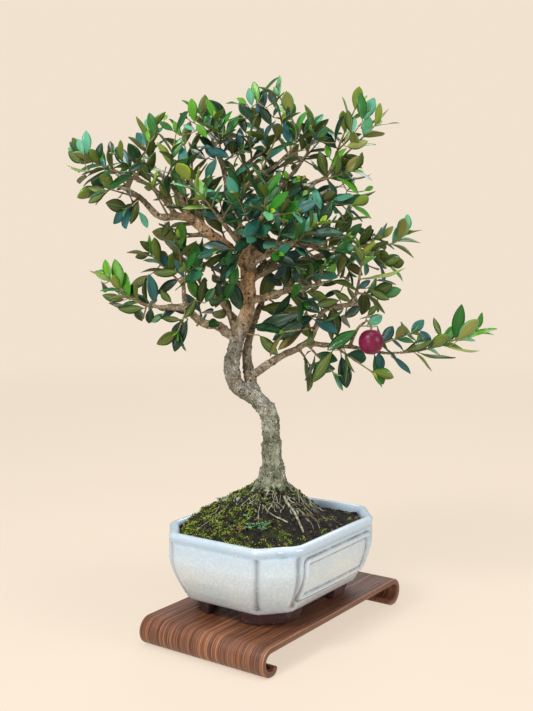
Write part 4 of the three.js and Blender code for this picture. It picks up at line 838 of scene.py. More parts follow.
def moss_finish():
    f = Finish("moss", Roughness=0.75)
    traits = f.parts("moss")
    colour = f.ramp(traits["X"], [(0.0, (14, 18, 5)), (0.45, (72, 92, 14)), (1.0, (190, 206, 56))])
    colour = f.mix(f.ramp(traits["Y"], [(0.4, 0.0), (0.8, 0.9)]), colour, (34, 42, 14))
    return f.wear(Base_Color=colour)


def rootlet_finish():
    f = Finish("rootlet", Roughness=0.85)
    at = f.place()
    colour = f.patches(at, 260.0, [(0.3, (76, 70, 52)), (0.5, (134, 130, 108)), (0.7, (196, 194, 178))])
    return f.wear(Base_Color=colour, Normal=f.bump(f.noise(at, 700.0), 0.5, 0.0005))


def sprout_finish():
    f = Finish("sprout", Roughness=0.5)
    traits = f.parts("moss")
    colour = f.ramp(traits["X"], [(0.0, (84, 136, 84)), (0.6, (128, 180, 130)), (1.0, (160, 206, 158))])
    return f.wear(Base_Color=f.mix(traits["Y"], colour, (176, 112, 96)))


def mesh_finish():
    f = Finish("drain_mesh", Roughness=0.6)
    colour = f.patches(f.place(), 400.0, [(0.3, (22, 24, 22)), (0.7, (44, 46, 42))])
    return f.wear(Base_Color=colour)


# ---------------------------------------------------------------- camera, light and floor
CAMERA_AT = (-709.7, -488.3, 324.9)
CAMERA_AHEAD = (0.8132, 0.5727, -0.1032)
FOCAL_PIXELS, FRAME_HEIGHT, SENSOR = 1013.4, 711, 36.0
PHOTO_MIDDLE = (266.5, 355.5)
CAMERA_SIDE = unit(cross(CAMERA_AHEAD, (0, 0, 1)))
CAMERA_UP = cross(CAMERA_SIDE, CAMERA_AHEAD)
TREE_AHEAD = unit((*turned(CAMERA_AHEAD[0], CAMERA_AHEAD[1], -TREE_TURN), CAMERA_AHEAD[2]))
BACKDROP = srgb(241, 226, 208)
WORLD_LIGHT, WORLD_STRENGTH = (0.97, 0.98, 1.0, 1.0), 0.36
FLOOR = {"radius": 2.6, "sides": 96, "fades_from": 0.45, "gone_at": 2.1, "glow": 0.675}

# Soft lights: [name, azimuth, elevation, distance, size, power, colour]. Azimuth 0 stands in front of the
# tree and 90 to its right, and all of them face a point above the stand's middle.
LIGHTS = [
    ["key", -40, 46, 1.5, 0.4, 15.5, (1, 1, 1)],
    ["overhead", 15, 78, 1.3, 0.7, 6.0, (0.95, 0.98, 1.0)],
    ["fill", 60, 18, 1.6, 0.8, 11.0, (1, 1, 1)],
    ["front", -24, 7, 1.8, 0.8, 8.5, (1, 1, 1)],
    ["back", 170, 38, 1.7, 0.9, 7.0, (1, 1, 1)]]
LIT_HEIGHT = 0.22


def sight(u, v):
    """The direction in which the camera sees a pixel of the photo, in the stand's frame."""
    right, down = (u - PHOTO_MIDDLE[0]) / FOCAL_PIXELS, (v - PHOTO_MIDDLE[1]) / FOCAL_PIXELS
    return add(add(CAMERA_AHEAD, CAMERA_SIDE, right), CAMERA_UP, -down)


def seen_at(u, v, depth):
    """The point of the tree's frame that a pixel shows at a depth from front to back."""
    ahead = sight(u, v)
    near, far = (turned(at[0], at[1], -TREE_TURN)[1] for at in (CAMERA_AT, add(CAMERA_AT, ahead)))
    at = add(CAMERA_AT, ahead, (depth - near) / (far - near))
    return (*turned(at[0], at[1], -TREE_TURN), at[2])


def photo_pixels(points):
    """The pixels of the photo that show some points of the tree's frame."""
    p = np.asarray(points, float).reshape(-1, 3)
    away = np.stack([*turned(p[:, 0], p[:, 1], TREE_TURN), p[:, 2]], 1) - CAMERA_AT
    deep = away @ CAMERA_AHEAD / FOCAL_PIXELS
    right, up = away @ CAMERA_SIDE / deep, away @ CAMERA_UP / deep
    return np.stack([PHOTO_MIDDLE[0] + right, PHOTO_MIDDLE[1] - up], 1)


def within(outline, u, v):
    """Whether a point is inside a closed outline, by counting how often a line out of it crosses."""
    crossings = 0
    for (u0, v0), (u1, v1) in zip(outline, outline[1:] + outline[:1]):
        if (v0 > v) != (v1 > v) and u < u0 + (v - v0) / (v1 - v0) * (u1 - u0):
            crossings += 1
    return crossings % 2 == 1


def in_crown(u, v):
    """Whether leaves may show at a pixel of the photo."""
    shut = any(u0 < u < u1 and v0 < v < v1 for u0, v0, u1, v1 in OPEN_PLACES.values())
    return within(CROWN_OUTLINE, u, v) and not shut


def seen_on_soil(u, v):
    """Where a pixel meets the mound's near side, in the tree's frame, or None where it misses it."""
    ahead = sight(u, v)
    reach = (SOIL_APEX + SIGHT_ABOVE - CAMERA_AT[2]) / ahead[2]
    while True:
        at = add(CAMERA_AT, ahead, reach)
        x, y = turned(at[0], at[1], -TREE_TURN)
        if y > NEAR_SIDE:
            return None
        if at[2] <= ground(x, y):
            return x, y
        reach += SIGHT_STEP


def set_camera():
    data = bpy.data.cameras.new("camera")
    data.sensor_width = SENSOR
    data.lens = FOCAL_PIXELS / FRAME_HEIGHT * SENSOR
    data.clip_start, data.clip_end = 0.01, 50
    facing = Vector(CAMERA_AHEAD).to_track_quat("-Z", "Y")
    camera = placed("camera", data, Vector(in_row_frame([CAMERA_AT])[0]), facing)
    bpy.context.scene.camera = camera


def set_world():
    """Neutral light all round, in front of a warm backdrop."""
    bpy.context.scene.view_settings.view_transform = "Standard"
    world = bpy.data.worlds.new("studio")
    bpy.context.scene.world = world
    world.use_nodes = True
    nodes, links = world.node_tree.nodes, world.node_tree.links
    seen = nodes["Background"]
    seen.inputs["Color"].default_value = BACKDROP
    lit = nodes.new("ShaderNodeBackground")
    lit.inputs["Color"].default_value = WORLD_LIGHT
    lit.inputs["Strength"].default_value = WORLD_STRENGTH
    path = nodes.new("ShaderNodeLightPath")
    blend = nodes.new("ShaderNodeMixShader")
    links.new(path.outputs["Is Camera Ray"], blend.inputs[0])
    links.new(lit.outputs[0], blend.inputs[1])
    links.new(seen.outputs[0], blend.inputs[2])
    links.new(blend.outputs[0], nodes["World Output"].inputs["Surface"])


def set_lights():
    for name, azimuth, elevation, distance, size, power, colour in LIGHTS:
        data = bpy.data.lights.new(name, "AREA")
        data.shape, data.size, data.energy, data.color = "DISK", size, power, colour
        a, e = math.radians(azimuth) + TREE_TURN, math.radians(elevation)
        away = Vector((math.sin(a) * math.cos(e), -math.cos(a) * math.cos(e), math.sin(e)))
        at = Vector((MIDDLE[0], MIDDLE[1], LIT_HEIGHT)) + away * distance
        placed(name, data, at, away.to_track_quat("Z", "Y"))


def make_floor():
    """A round floor, part lit and part glowing in the backdrop's colour, that fades into it."""
    radius, sides = FLOOR["radius"], FLOOR["sides"]
    mesh = bpy.data.meshes.new("floor")
    ring = [(*out_from(MIDDLE, 2 * math.pi * i / sides, radius), 0.0) for i in range(sides)]
    mesh.from_pydata(ring, [], [list(range(sides))])
    f = Finish("floor", Roughness=0.9, Specular_IOR_Level=0.0, Emission_Strength=FLOOR["glow"])
    middle = f.add("TexCoord").outputs["Object"]
    away = f.add("VectorMath", {0: middle}, operation="LENGTH").outputs["Value"]
    fade = f.add("MapRange", {"Value": away, "From Min": FLOOR["fades_from"], "From Max": FLOOR["gone_at"],
                              "To Min": 1.0, "To Max": 0.0})
    f.wear(Base_Color=srgb(132, 124, 113), Emission_Color=srgb(251, 234, 214), Alpha=fade.outputs["Result"])
    mesh.materials.append(f.material)
    floor = placed("floor", mesh)


# ---------------------------------------------------------------- stand
def arc(centre, radius, start, end, steps):
    """Points on an arc with their headings; angles in degrees."""
    turn = -1 if end < start else 1
    points = []
    for i in range(steps + 1):
        a = math.radians(mix(start, end, i / steps))
        heading = (-math.sin(a) * turn, math.cos(a) * turn)
        points.append((*out_from(centre, a, radius), *heading))
    return points


def board_path():
    """The board's middle line in the XZ plane, from the left lip over the deck to the right lip."""
    half = STAND["board"] / 2
    bend_x, bend_z = STAND["bend_x"], STAND["height"] / 2
    hook_x, hook_z = bend_x - STAND["flat"], STAND["hook"]
    bend_r, hook_r = bend_z - half, hook_z - half
    path = arc((-hook_x, hook_z), hook_r, -90 + HOOK_SWEEP["left"], -90, HOOK_STEPS["left"])
    path += arc((-bend_x, bend_z), bend_r, -90, -270, BEND_STEPS)
    for i in range(1, DECK_STEPS):
        path.append((mix(-bend_x, bend_x, i / DECK_STEPS), STAND["height"] - half, 1.0, 0.0))
    path += arc((bend_x, bend_z), bend_r, 90, -90, BEND_STEPS)
    return path + arc((hook_x, hook_z), hook_r, -90, -90 - HOOK_SWEEP["right"], HOOK_STEPS["right"])


def board_section():
    """(across, depth) round the board's section, with rounded edges and rows across its width."""
    half_w, half_d, r = STAND["width"] / 2, STAND["board"] / 2, EDGE_ROUND
    flat_w, flat_d = half_w - r, half_d - r
    quarter = [math.radians(90 * i / 4) for i in (1, 2, 3)]
    half = [(mix(-flat_w, flat_w, i / BOARD_ROWS), half_d) for i in range(BOARD_ROWS + 1)]
    half += [(flat_w + r * math.sin(a), flat_d + r * math.cos(a)) for a in quarter]
    half += [(half_w, flat_d), (half_w, 0.0), (half_w, -flat_d)]
    half += [(flat_w + r * math.cos(a), -(flat_d + r * math.sin(a))) for a in quarter]
    return [(across * side, depth * side) for side in (1, -1) for across, depth in half]


def make_stand(finish):
    """The bent board. Its points know their place on the board and how near they are to its cut edge."""
    path, section = board_path(), board_section()
    half_w, half_d = STAND["width"] / 2, STAND["board"] / 2
    points, board, edge = [], [], []
    travelled = 0.0
    for i, (x, z, hx, hz) in enumerate(path):
        if i:
            travelled += math.hypot(x - path[i - 1][0], z - path[i - 1][1])
        pinch = END_PINCH.get(min(i, len(path) - 1 - i), 0.0)
        for across, depth in section:
            inner = depth * (1 - pinch / half_d)
            points.append((x - hz * inner, across * (1 - pinch / half_w), z + hx * inner))
            board.append((travelled * MM * 10, across * MM * 10, depth * MM * 10))
            side = clamped((abs(across) - (half_w - EDGE_ROUND)) / 0.5)
            corner = side * (abs(depth) > half_d - 1.3)
            edge.append((side, (depth / half_d + 1) / 2, corner))
    faces = loft_faces(len(path), len(section))
    spots = {"board": board, "edge": edge}
    piece("bentwood_stand", points, faces, [finish], ["stand"], spots=spots)


# ---------------------------------------------------------------- pot
def wall_inset(z):
    return POT_TUCK * max(0.0, (POT_TUCK_FROM - z) / (POT_TUCK_FROM - POT_BASE)) ** 1.5


def octagon(inset):
    """Corner points about the pot's middle, going round from the right side."""
    x, y = POT_HALF[0] - inset, POT_HALF[1] - inset
    cx, cy = POT_CUT[0] - inset * 0.42, POT_CUT[1] - inset * 0.34
    return [(x, -y + cy), (x, y - cy), (x - cx, y), (-x + cx, y),
            (-x, y - cy), (-x, -y + cy), (-x + cx, -y), (x - cx, -y)]


SIDE_STEPS = (36, 26, 150, 26, 36, 26, 150, 26)    # points along each side of the octagon
LONG_SIDES = (2, 6)
CORNER_ROUND, CORNER_DROP = 5.5, 0.9               # a rounded corner's reach along its sides, and its depth
# the grooves' width, and the width of the painted shade in them
GROOVE_WIDTH, GROOVE_SHADE_WIDTH = 3.0, 2.8
WALL_FROM, WALL_TO, WALL_STEP = POT_BASE + 4.2, 86.0, 0.62
# a darker band painted under the lip as shade: its height, width and strength, and the height below which
# the grooves' painted shade runs
UNDER_LIP_SHADE = {"at": 87.0, "width": 1.1, "depth": 0.5, "groove_below": 88}


def pot_ring(z, inset, groove=0.0, swell=0.0, panels=0.0, hollow=0.0):
    """One outline of the pot, as (x, y, painted shade in the grooves, brownish line and painted shade round
    the panels) points. groove cuts in beside the corners, swell crowns the sides, panels raises the long
    sides' frames and hollow draws in the cut sides."""
    corners = octagon(inset)
    ring = []
    for i, corner in enumerate(corners):
        after = corners[(i + 1) % 8]
        run = (after[0] - corner[0], after[1] - corner[1])
        span = math.hypot(*run)
        along = (run[0] / span, run[1] / span)
        out = (along[1], -along[0])
        ways = [corner_way(corners, i), corner_way(corners, (i + 1) % 8)]
        for k in range(SIDE_STEPS[i]):
            s = span * (0.5 - 0.5 * math.cos(math.pi * (k + 0.5) / SIDE_STEPS[i]))
            to_corner = min(s, span - s)
            crown = 1 - (2 * s / span - 1) ** 2
            rise = -CORNER_DROP * max(0.0, 1 - to_corner / CORNER_ROUND) ** 2
            rise += swell * crown
            rise -= groove * bell(to_corner, GROOVE_WIDTH)
            if i % 2:
                rise -= hollow * crown
            stain_and_shade = 0.0
            if panels and i in LONG_SIDES:
                lift, stain_and_shade = panel_relief(s - span / 2, z)
                rise += lift * panels
            way, near = ways[s > span / 2], max(0.0, 1 - to_corner / 6)
            push = (mix(out[0], way[0], near) * rise, mix(out[1], way[1], near) * rise)
            # third value: painted shade in the grooves beside the corners; fourth: the panels' brownish
            # line, partly painted shade
            ring.append((corner[0] + along[0] * s + push[0], corner[1] + along[1] * s + push[1],
                         bell(to_corner, GROOVE_SHADE_WIDTH) * min(1.0, groove / 1.7), stain_and_shade))
    return ring


def corner_way(corners, i):
    """The outward direction midway between a corner's two sides."""
    before, here, after = corners[i - 1], corners[i], corners[(i + 1) % 8]
    run = unit((here[0] - before[0], here[1] - before[1], 0))
    lead = unit((after[0] - here[0], after[1] - here[1], 0))
    return unit((run[1] + lead[1], -run[0] - lead[0], 0))


def panel_relief(x, z):
    """(rise, brownish line) of a framed panel: a soft bead all round, with a sunk field inside. The line
    runs at the field's edge and in the groove outside the bead, partly the glaze's own colour and partly
    painted shade in these recesses.
    """
    mid, half_h = (PANEL["high"] + PANEL["low"]) / 2, (PANEL["high"] - PANEL["low"]) / 2
    dx, dz = abs(x) - PANEL["half"], abs(z - mid) - half_h
    corner = 3.0
    out = math.hypot(max(dx + corner, 0), max(dz + corner, 0)) - corner + min(max(dx, dz) + corner, 0)
    width = mix(2.6, 1.5, clamped((dx - dz) / 4 + 0.5))
    bead = 2.0 * bell(out + 1.2, width)
    field = -1.3 * clamped((-out - 1.5) / 2.0)
    groove = -0.9 * bell(out - 1.9, 1.0)
    # brownish line in the panel's recesses: partly the glaze's own, partly painted shade
    line = max(bell(out + 4.0, 0.9), bell(out - 1.9, 1.1))
    return bead + field + groove, line


def lip_profile():
    """(height, extra inset) pairs over the rounded rim, from below it outside to the inner wall."""
    outer = [(86.6, 0.05), (87.4, 0.15), (88.2, 0.0), (89.0, -0.3), (90.0, -0.6), (91.2, -0.75),
             (92.3, -0.5), (93.2, 0.1), (93.9, 1.1), (94.25, 2.2)]
    inner = [(94.3, 3.2), (94.2, 4.3), (93.8, 5.3), (93.0, 6.0), (91.8, 6.5), (90.0, 6.8), (87.0, 6.95)]
    return outer + inner


def pot_profile():
    """Rows of (height, inset, pot_ring settings, tint), from the underside's edge to the inner floor."""
    tuck = wall_inset(POT_BASE)
    rows = [(POT_BASE, tuck + 6.5, {}, 0.2), (POT_BASE + 0.05, tuck + 3.0, {}, 0.2)]
    for lift, extra in ((0.5, 1.2), (1.4, 0.35), (2.8, 0.0)):
        z = POT_BASE + lift
        rows.append((z, wall_inset(z) + extra, {"groove": 0.3 * lift / 2.8}, 0.15))
    z = WALL_FROM
    while z < WALL_TO:
        full = min(1.0, (z - POT_BASE - 2) / 8) * min(1.0, (88.5 - z) / 5)
        low, high = max(0.0, 1 - (z - POT_BASE) / 14), max(0.0, (z - 64) / 24)
        settings = {"groove": 3.0 * full, "swell": 1.0 * full, "panels": 1.0, "hollow": 0.6 * full}
        rows.append((z, wall_inset(z), settings, high * 0.6 + low * 0.1))
        z += WALL_STEP
    for z, extra in lip_profile():
        # the lip's top gets little blue, a painted highlight; below the lip the blue is strongest
        tint = 0.2 if z > 93 and extra < 3.5 else 1.0 if z < 90 and extra < 1 else 0.75
        rows.append((z, wall_inset(z) + extra, {"hollow": 1.0, "groove": 0.5}, tint))
    for z in (80, 70, 60, 52, 46, POT_FLOOR):
        rows.append((z, wall_inset(z) + POT_WALL + (1.5 if z == POT_FLOOR else 0), {}, 0.1))
    return rows


def make_pot(finish):
    rows = pot_profile()
    points, traits = [], []
    for z, inset, settings, tint in rows:
        for x, y, edge, stain_and_shade in pot_ring(z, inset, **settings):
            sag = 0.35 * math.sin(x * 0.045 + 0.8) * math.sin(y * 0.06) * (z - POT_BASE) / 60
            points.append((POT_CENTRE[0] + x, POT_CENTRE[1] + y, z + sag * (z > 60)))
            foot = max(0.0, 1 - abs(z - POT_BASE - 7) / 5)
            # a darker band just under the lip and darker, bluer corner grooves: painted shade; where the
            # grooves meet the foot they also get brownish marks
            line = UNDER_LIP_SHADE["depth"] * bell(z - UNDER_LIP_SHADE["at"], UNDER_LIP_SHADE["width"])
            thin = max(edge * (z < UNDER_LIP_SHADE["groove_below"]), line)
            traits.append((min(1.0, tint + edge * 0.3), thin, min(1.0, stain_and_shade + edge * foot * 1.3)))
    faces = loft_faces(len(rows), sum(SIDE_STEPS))
    whole = piece("pot_glaze", points, faces, [finish], ["pot"])
    for side in (-1, 1):
        bore(whole, side)
    lay_spots(whole.data, "glaze", points, traits)
    glaze_drop(finish)


def lay_spots(mesh, key, points, values):
    """Gives each vertex the values of the nearest of the points that the mesh was made from."""
    tree = search_tree(in_row_frame(points))
    nearest = [tree.find(vertex.co)[1] for vertex in mesh.vertices]
    lay(mesh, key, np.asarray(values, np.float32)[nearest])


def bore(pot, side):
    """Cuts a drain hole."""
    cutter = placed("cutter", bpy.data.meshes.new("cutter"))
    radius = DRAIN["radius"] * MM
    bm = bmesh.new()
    bmesh.ops.create_cone(bm, cap_ends=True, segments=32, radius1=radius, radius2=radius, depth=20 * MM)
    spot = in_row_frame([(POT_CENTRE[0] + side * DRAIN["spacing"], POT_CENTRE[1], POT_BASE + 4)])[0]
    bmesh.ops.translate(bm, verts=bm.verts, vec=Vector(spot))
    bm.to_mesh(cutter.data)
    bm.free()
    cut = pot.modifiers.new("drain", "BOOLEAN")
    cut.operation, cut.object, cut.solver = "DIFFERENCE", cutter, "EXACT"
    pot.data = baked(pot)
    bpy.data.objects.remove(cutter)


def glaze_drop(finish):
    """A blob of glaze on the near cut corner's rim."""
    corners = octagon(-0.6)
    near = between((*corners[5], 0), (*corners[6], 0), 0.56)
    ball, faces = unit_ball(3)
    points = []
    for v in ball:
        lump = 1 + 0.12 * noise.noise(v * 1.7)
        points.append((POT_CENTRE[0] + near[0] + v.x * 2.4 * lump,
                       POT_CENTRE[1] + near[1] - v.x * 1.6 + v.y * 1.1, 91.2 + v.z * 1.1 * lump))
    piece("glaze_drop", points, faces, [finish], spots={"glaze": [(0.35, 0.0, 0.0)] * len(points)})


def make_feet(finish):
    """Four unglazed feet, one round each cut corner, with sloping ends."""
    shape = Shape()
    seat, top = STAND["height"] + SEAT_GAP, POT_BASE + 1.5
    rows = [(seat, 0.9, 0.0), (seat + 0.7, 0.25, 0.1), (seat + 1.6, 0.0, 0.3)]
    for i in range(1, 7):
        rows.append((mix(rows[2][0], top, i / 6), -3.5 * i / 6, FOOT["slope"] * i / 6))
    for sx, sy in ((-1, -1), (-1, 1), (1, -1), (1, 1)):
        reach_y = FOOT["reach_near"] if sx < 0 and sy < 0 else FOOT["reach_far"]
        rings = [foot_outline(z, FOOT["tuck"] + extra, spread, reach_y) for z, extra, spread in rows]
        points = [(POT_CENTRE[0] + x * sx, POT_CENTRE[1] + y * sy, z) for ring in rings for x, y, z in ring]
        faces = loft_faces(len(rings), len(rings[0]))
        if sx * sy < 0:
            faces = [tuple(reversed(face)) for face in faces]
        shape.add(points, faces)
    shape.piece("pot_feet", [finish], "bare_clay", turn=0.0)


def foot_outline(z, inset, spread, reach_y):
    """One foot's outline in the quarter where x and y are positive, with its corners rounded off."""
    x, y = POT_HALF[0] - inset, POT_HALF[1] - inset
    cut_x, cut_y, w = POT_CUT[0] - 8, POT_CUT[1] - 4, FOOT["width"]
    end_x, end_y, bend = FOOT["reach_x"] - spread, reach_y - spread, FOOT["width"] * 0.42
    corners = [(x, end_y), (x, y - cut_y), (x - cut_x, y), (end_x, y),
               (end_x, y - w), (x - cut_x - bend, y - w), (x - w, y - cut_y - bend), (x - w, end_y)]
    ring = []
    for i, corner in enumerate(corners):
        radius = 1.2 if i in (0, 3, 4, 7) else 4.0
        a, b = toward(corner, corners[i - 1], radius), toward(corner, corners[(i + 1) % 8], radius)
        for t in (0.0, 0.25, 0.5, 0.75, 1.0):
            k0, k1, k2 = (1 - t) ** 2, 2 * t * (1 - t), t * t
            ring.append((*(k0 * p + k1 * q + k2 * r for p, q, r in zip(a, corner, b)), z))
    return ring


def toward(a, b, distance):
    """The point at a distance from a towards b, but never past their middle."""
    span = math.hypot(b[0] - a[0], b[1] - a[1])
    k = min(distance, span * 0.45) / span
    return (mix(a[0], b[0], k), mix(a[1], b[1], k))


# ---------------------------------------------------------------- soil
TRUNK_AT = turned(*TRUNK_FOOT, TREE_TURN)          # the trunk's foot in the stand's frame
TRUNK_IN_POT = (TRUNK_AT[0] - POT_CENTRE[0], TRUNK_AT[1] - POT_CENTRE[1])


def soil_height(x, y):
    """Height of the soil at a point of the tree's frame: a mound round the trunk, with small tufts."""
    dx, dy = x - TRUNK_FOOT[0], y - TRUNK_FOOT[1]
    r = math.sqrt(dx * dx + dy * dy) + 1e-9
    reach_x = MOUND_REACH["left"] if dx < 0 else MOUND_REACH["right"]
    reach_y = MOUND_REACH["front"] if dy < 0 else MOUND_REACH["back"]
    reach = 1 / math.sqrt((dx / r / reach_x) ** 2 + (dy / r / reach_y) ** 2)
    slope = max(0.0, 1 - (r - HOLE_RADIUS) / reach)
    tufts = 0.7 * math.sin(x * 0.31 + 1.1) * math.sin(y * 0.27 + 0.4) * min(1, r / 60)
    return SOIL_EDGE + (SOIL_APEX - SOIL_EDGE) * min(1, slope) ** 1.12 + tufts


def rough_soil(x, y):
    """The soil's height with its lumps."""
    at = Vector((x, y, 0))
    lumps = 2.2 * noise.noise(at * 0.13) + 1.9 * noise.noise(at * 0.37 + Vector((7, 1, 2)))
    crumbs = 1.2 * noise.noise(at * 0.9 + Vector((3, 5, 1)))
    plain = soil_height(x, y)
    freely = min(1.0, 0.35 + max(0.0, plain - SOIL_EDGE) / 8)
    return plain - 1.2 + 0.6 * freely + (lumps + crumbs) * freely


def flare(z):
    """How much the trunk's foot widens at a height."""
    return FLARE["wide"] * math.exp(-max(0.0, z - FLARE["from"]) / FLARE["fall"])


def trunk_bow(z):
    """How far the trunk's bend is moved at a height."""
    return TRUNK_BOW["aside"] * bell(z - TRUNK_BOW["at"], TRUNK_BOW["reach"])


def ground(x, y):
    """The height of the soil or of the trunk's flare, whichever is higher."""
    r = math.hypot(x - TRUNK_FOOT[0], y - TRUNK_FOOT[1])
    spread = min(FLARE["wide"], max(0.01, r - STUMP["radius"] + 1.5))
    bark = FLARE["from"] - FLARE["fall"] * math.log(spread / FLARE["wide"])
    if r >= STUMP["radius"] + FLARE["wide"]:
        bark = 0
    return max(rough_soil(x, y), min(bark, FLARE["from"] + 15))


def reach_to_wall(angle, z, extra):
    """Distance from the trunk's middle to the pot's inner wall in the direction of an angle."""
    corners = octagon(wall_inset(z) + extra + SEAT_GAP)
    reach = 1e9
    for i, corner in enumerate(corners):
        after = corners[(i + 1) % 8]
        normal = (after[1] - corner[1], corner[0] - after[0])
        ahead = math.cos(angle) * normal[0] + math.sin(angle) * normal[1]
        gap = (corner[0] - TRUNK_IN_POT[0]) * normal[0] + (corner[1] - TRUNK_IN_POT[1]) * normal[1]
        if ahead > 1e-9:
            reach = min(reach, gap / ahead)
    return reach


def in_pot(x, y):
    """Whether a point of the tree's frame is over the soil."""
    px, py = turned(x, y, TREE_TURN)
    return within(octagon(wall_inset(88) + POT_WALL + 1.2), px - POT_CENTRE[0], py - POT_CENTRE[1])


def mossy(x, y):
    """0 to 1: how much moss grows at a point of the tree's frame. Most is on its left and along the rim."""
    side = 0.34 - 0.012 * (x - TRUNK_FOOT[0])
    rim = max(0.0, (math.hypot(x, y) - 50) / 30) * 0.5
    patchy = noise.noise(Vector((x * 0.09, y * 0.09, 4.0))) * 1.2
    patchy += noise.noise(Vector((x * 0.3, y * 0.3, 9.0))) * 1.1
    return clamped(0.45 + 1.5 * (side + rim + patchy - 0.45))


def make_soil(finish):
    """The soil's own body, from its rough top down to the pot's floor."""
    sectors, steps = 150, 46
    points, traits = [], []

    def ring(part_of, z=None, wall_z=86, extra=POT_WALL):
        for i in range(sectors):
            a = 2 * math.pi * i / sectors
            x, y = out_from(TRUNK_AT, a, mix(HOLE_RADIUS, reach_to_wall(a, wall_z, extra), part_of))
            local = turned(x, y, -TREE_TURN)
            points.append((x, y, rough_soil(*local) if z is None else z))
            traits.append((mossy(*local), 0.0, 0.0))

    bottom = POT_FLOOR + 1.6
    ring(1.0, bottom, bottom, POT_WALL + 1.7)
    ring(1.0, 54, 54)
    ring(1.0, 84)
    for i in range(steps + 1):
        ring(1 - i / steps)
    ring(0.0, STUMP["bottom"] - SEAT_GAP)
    faces = loft_faces(steps + 5, sectors)
    piece("soil_bed", points, faces, [finish], ["soil"], spots={"soil": traits})


def soil_spots(number, draw, lowest=HOLE_RADIUS + 1):
    """Random points on the soil in the tree's frame, all over the pot."""
    for _ in range(number):
        a = next(draw) * 2 * math.pi
        wall = reach_to_wall(a, 88, POT_WALL) - 1.5
        r = math.sqrt(mix(lowest ** 2, wall ** 2, next(draw)))
        yield turned(*out_from(TRUNK_AT, a, r), -TREE_TURN)


def make_crumbs(finish):
    """Loose lumps of earth, bark and grit on the soil."""
    draw = seeded(SEEDS["crumbs"])
    ball, faces = unit_ball(1)
    shape = Shape()
    for x, y in soil_spots(CRUMBS, draw):
        size = 0.5 + 1.5 * next(draw) ** 3
        wide = [size * (0.7 + 0.8 * next(draw)) for _ in range(3)]
        turn = next(draw) * FULL_TURN
        shift = Vector((next(draw) * 90, 0, 0))
        z = rough_soil(x, y) + size * 0.25
        points = []
        for v in ball:
            lump = 1 + 0.35 * noise.noise(v * 1.3 + shift)
            px, py = turned(v.x * wide[0] * lump, v.y * wide[1] * lump, turn)
            points.append((x + px, y + py, z + v.z * wide[2] * 0.7 * lump))
        shape.add(points, faces)
    shape.piece("soil_crumbs", [finish], "earth")


def make_moss(finish):
    """Cushions of short bent shoots."""
    draw = seeded(SEEDS["moss"])
    shape = Shape()
    for x, y in soil_spots(MOSS_SPOTS, draw, HOLE_RADIUS - 2.5):
        dense = mossy(x, y)
        if next(draw) > dense * 0.95 - 0.14:
            continue
        height = (0.8 + 1.6 * next(draw)) * (0.6 + 0.6 * dense)
        patch = noise.noise(Vector((x * 0.11, y * 0.11, 30.0)))
        tint = clamped(0.45 + 1.1 * patch + about(draw, 0.5))
        for _ in range(3):
            sx, sy = x + about(draw, 2.6), y + about(draw, 2.6)
            lean = (about(draw, 1.4), about(draw, 1.4))
            tall = height * (0.6 + 0.6 * next(draw))
            moss_shoot(shape, (sx, sy, ground(sx, sy) - 0.4), lean, tall, tint, next(draw) * FULL_TURN)
    shape.piece("moss", [finish], "moss")


def moss_shoot(shape, root, lean, tall, tint, turn):
    """A three-sided shoot that widens in its middle and ends in a point."""
    points, spots = [], []
    for part, radius in ((0.0, 0.28), (0.5, 0.5), (0.8, 0.32)):
        x, y = (root[i] + lean[i] * tall * part ** 1.5 for i in (0, 1))
        for k in range(3):
            a = turn + k * 2.0944
            points.append((*out_from((x, y), a, radius), root[2] + tall * part))
            spots.append((part, tint, 0.0))
    points.append((root[0] + lean[0] * tall, root[1] + lean[1] * tall, root[2] + tall))
    spots.append((1.0, tint, 0.0))
    faces = [(a + k, a + (k + 1) % 3, a + 3 + (k + 1) % 3, a + 3 + k) for a in (0, 3) for k in range(3)]
    faces += [(6 + k, 6 + (k + 1) % 3, 9) for k in range(3)] + [(2, 1, 0)]
    shape.add(points, faces, moss=spots)


def tube_points(path, sides, wobble=0.0):
    """Rings round a path of (x, y, z, radius)."""
    rings = []
    across = None
    for i, point in enumerate(path):
        along = unit(sub(path[min(len(path) - 1, i + 1)], path[max(0, i - 1)]))
        across = square_to(along, across or ((1, 0, 0) if abs(along[2]) > 0.9 else (0, 0, 1)))
        up = cross(along, across)
        for k in range(sides):
            offset = swung(across, up, 2 * math.pi * k / sides)
            swell = 1.0
            if wobble:
                swell += wobble * noise.noise(Vector(add(point, offset, point[3])) * 0.16)
            rings.append(add(point, offset, point[3] * swell))
    return rings


def make_rootlets(finish):
    """Pale fine roots: those that the photo shows, and forked ones all round the mound."""
    draw = seeded(SEEDS["rootlets"])
    shape = Shape()
    for name, pixels in ROOTLETS_SEEN.items():
        thick = THICK_ROOTLETS.get(name, ROOTLET_USUAL)
        met = [spot for spot in (seen_on_soil(u, v) for u, v in pixels) if spot and in_pot(*spot)]
        if len(met) < 2:
            continue
        span = [(x, y, ground(x, y) + 0.9 * thick + 0.4, mix(thick, 0.7 * thick, i / len(pixels)))
                for i, (x, y) in enumerate(met)]
        shape.tube([(x, y, max(z, ground(x, y) + 0.6 * thick + 0.4), r)
                    for x, y, z, r in smooth_path(span, 1.6)], 7, 0.3)
    for i in range(ROOTLETS):
        angle = 2 * math.pi * (i + 1.6 * next(draw)) / ROOTLETS
        start, reach = 13 + 30 * next(draw), 12 + 30 * next(draw) ** 1.5
        grow_rootlet(shape, draw, angle, start, reach, 0.2 + 0.36 * next(draw) ** 3, i % 3)
    shape.piece("rootlets", [finish], "bark")


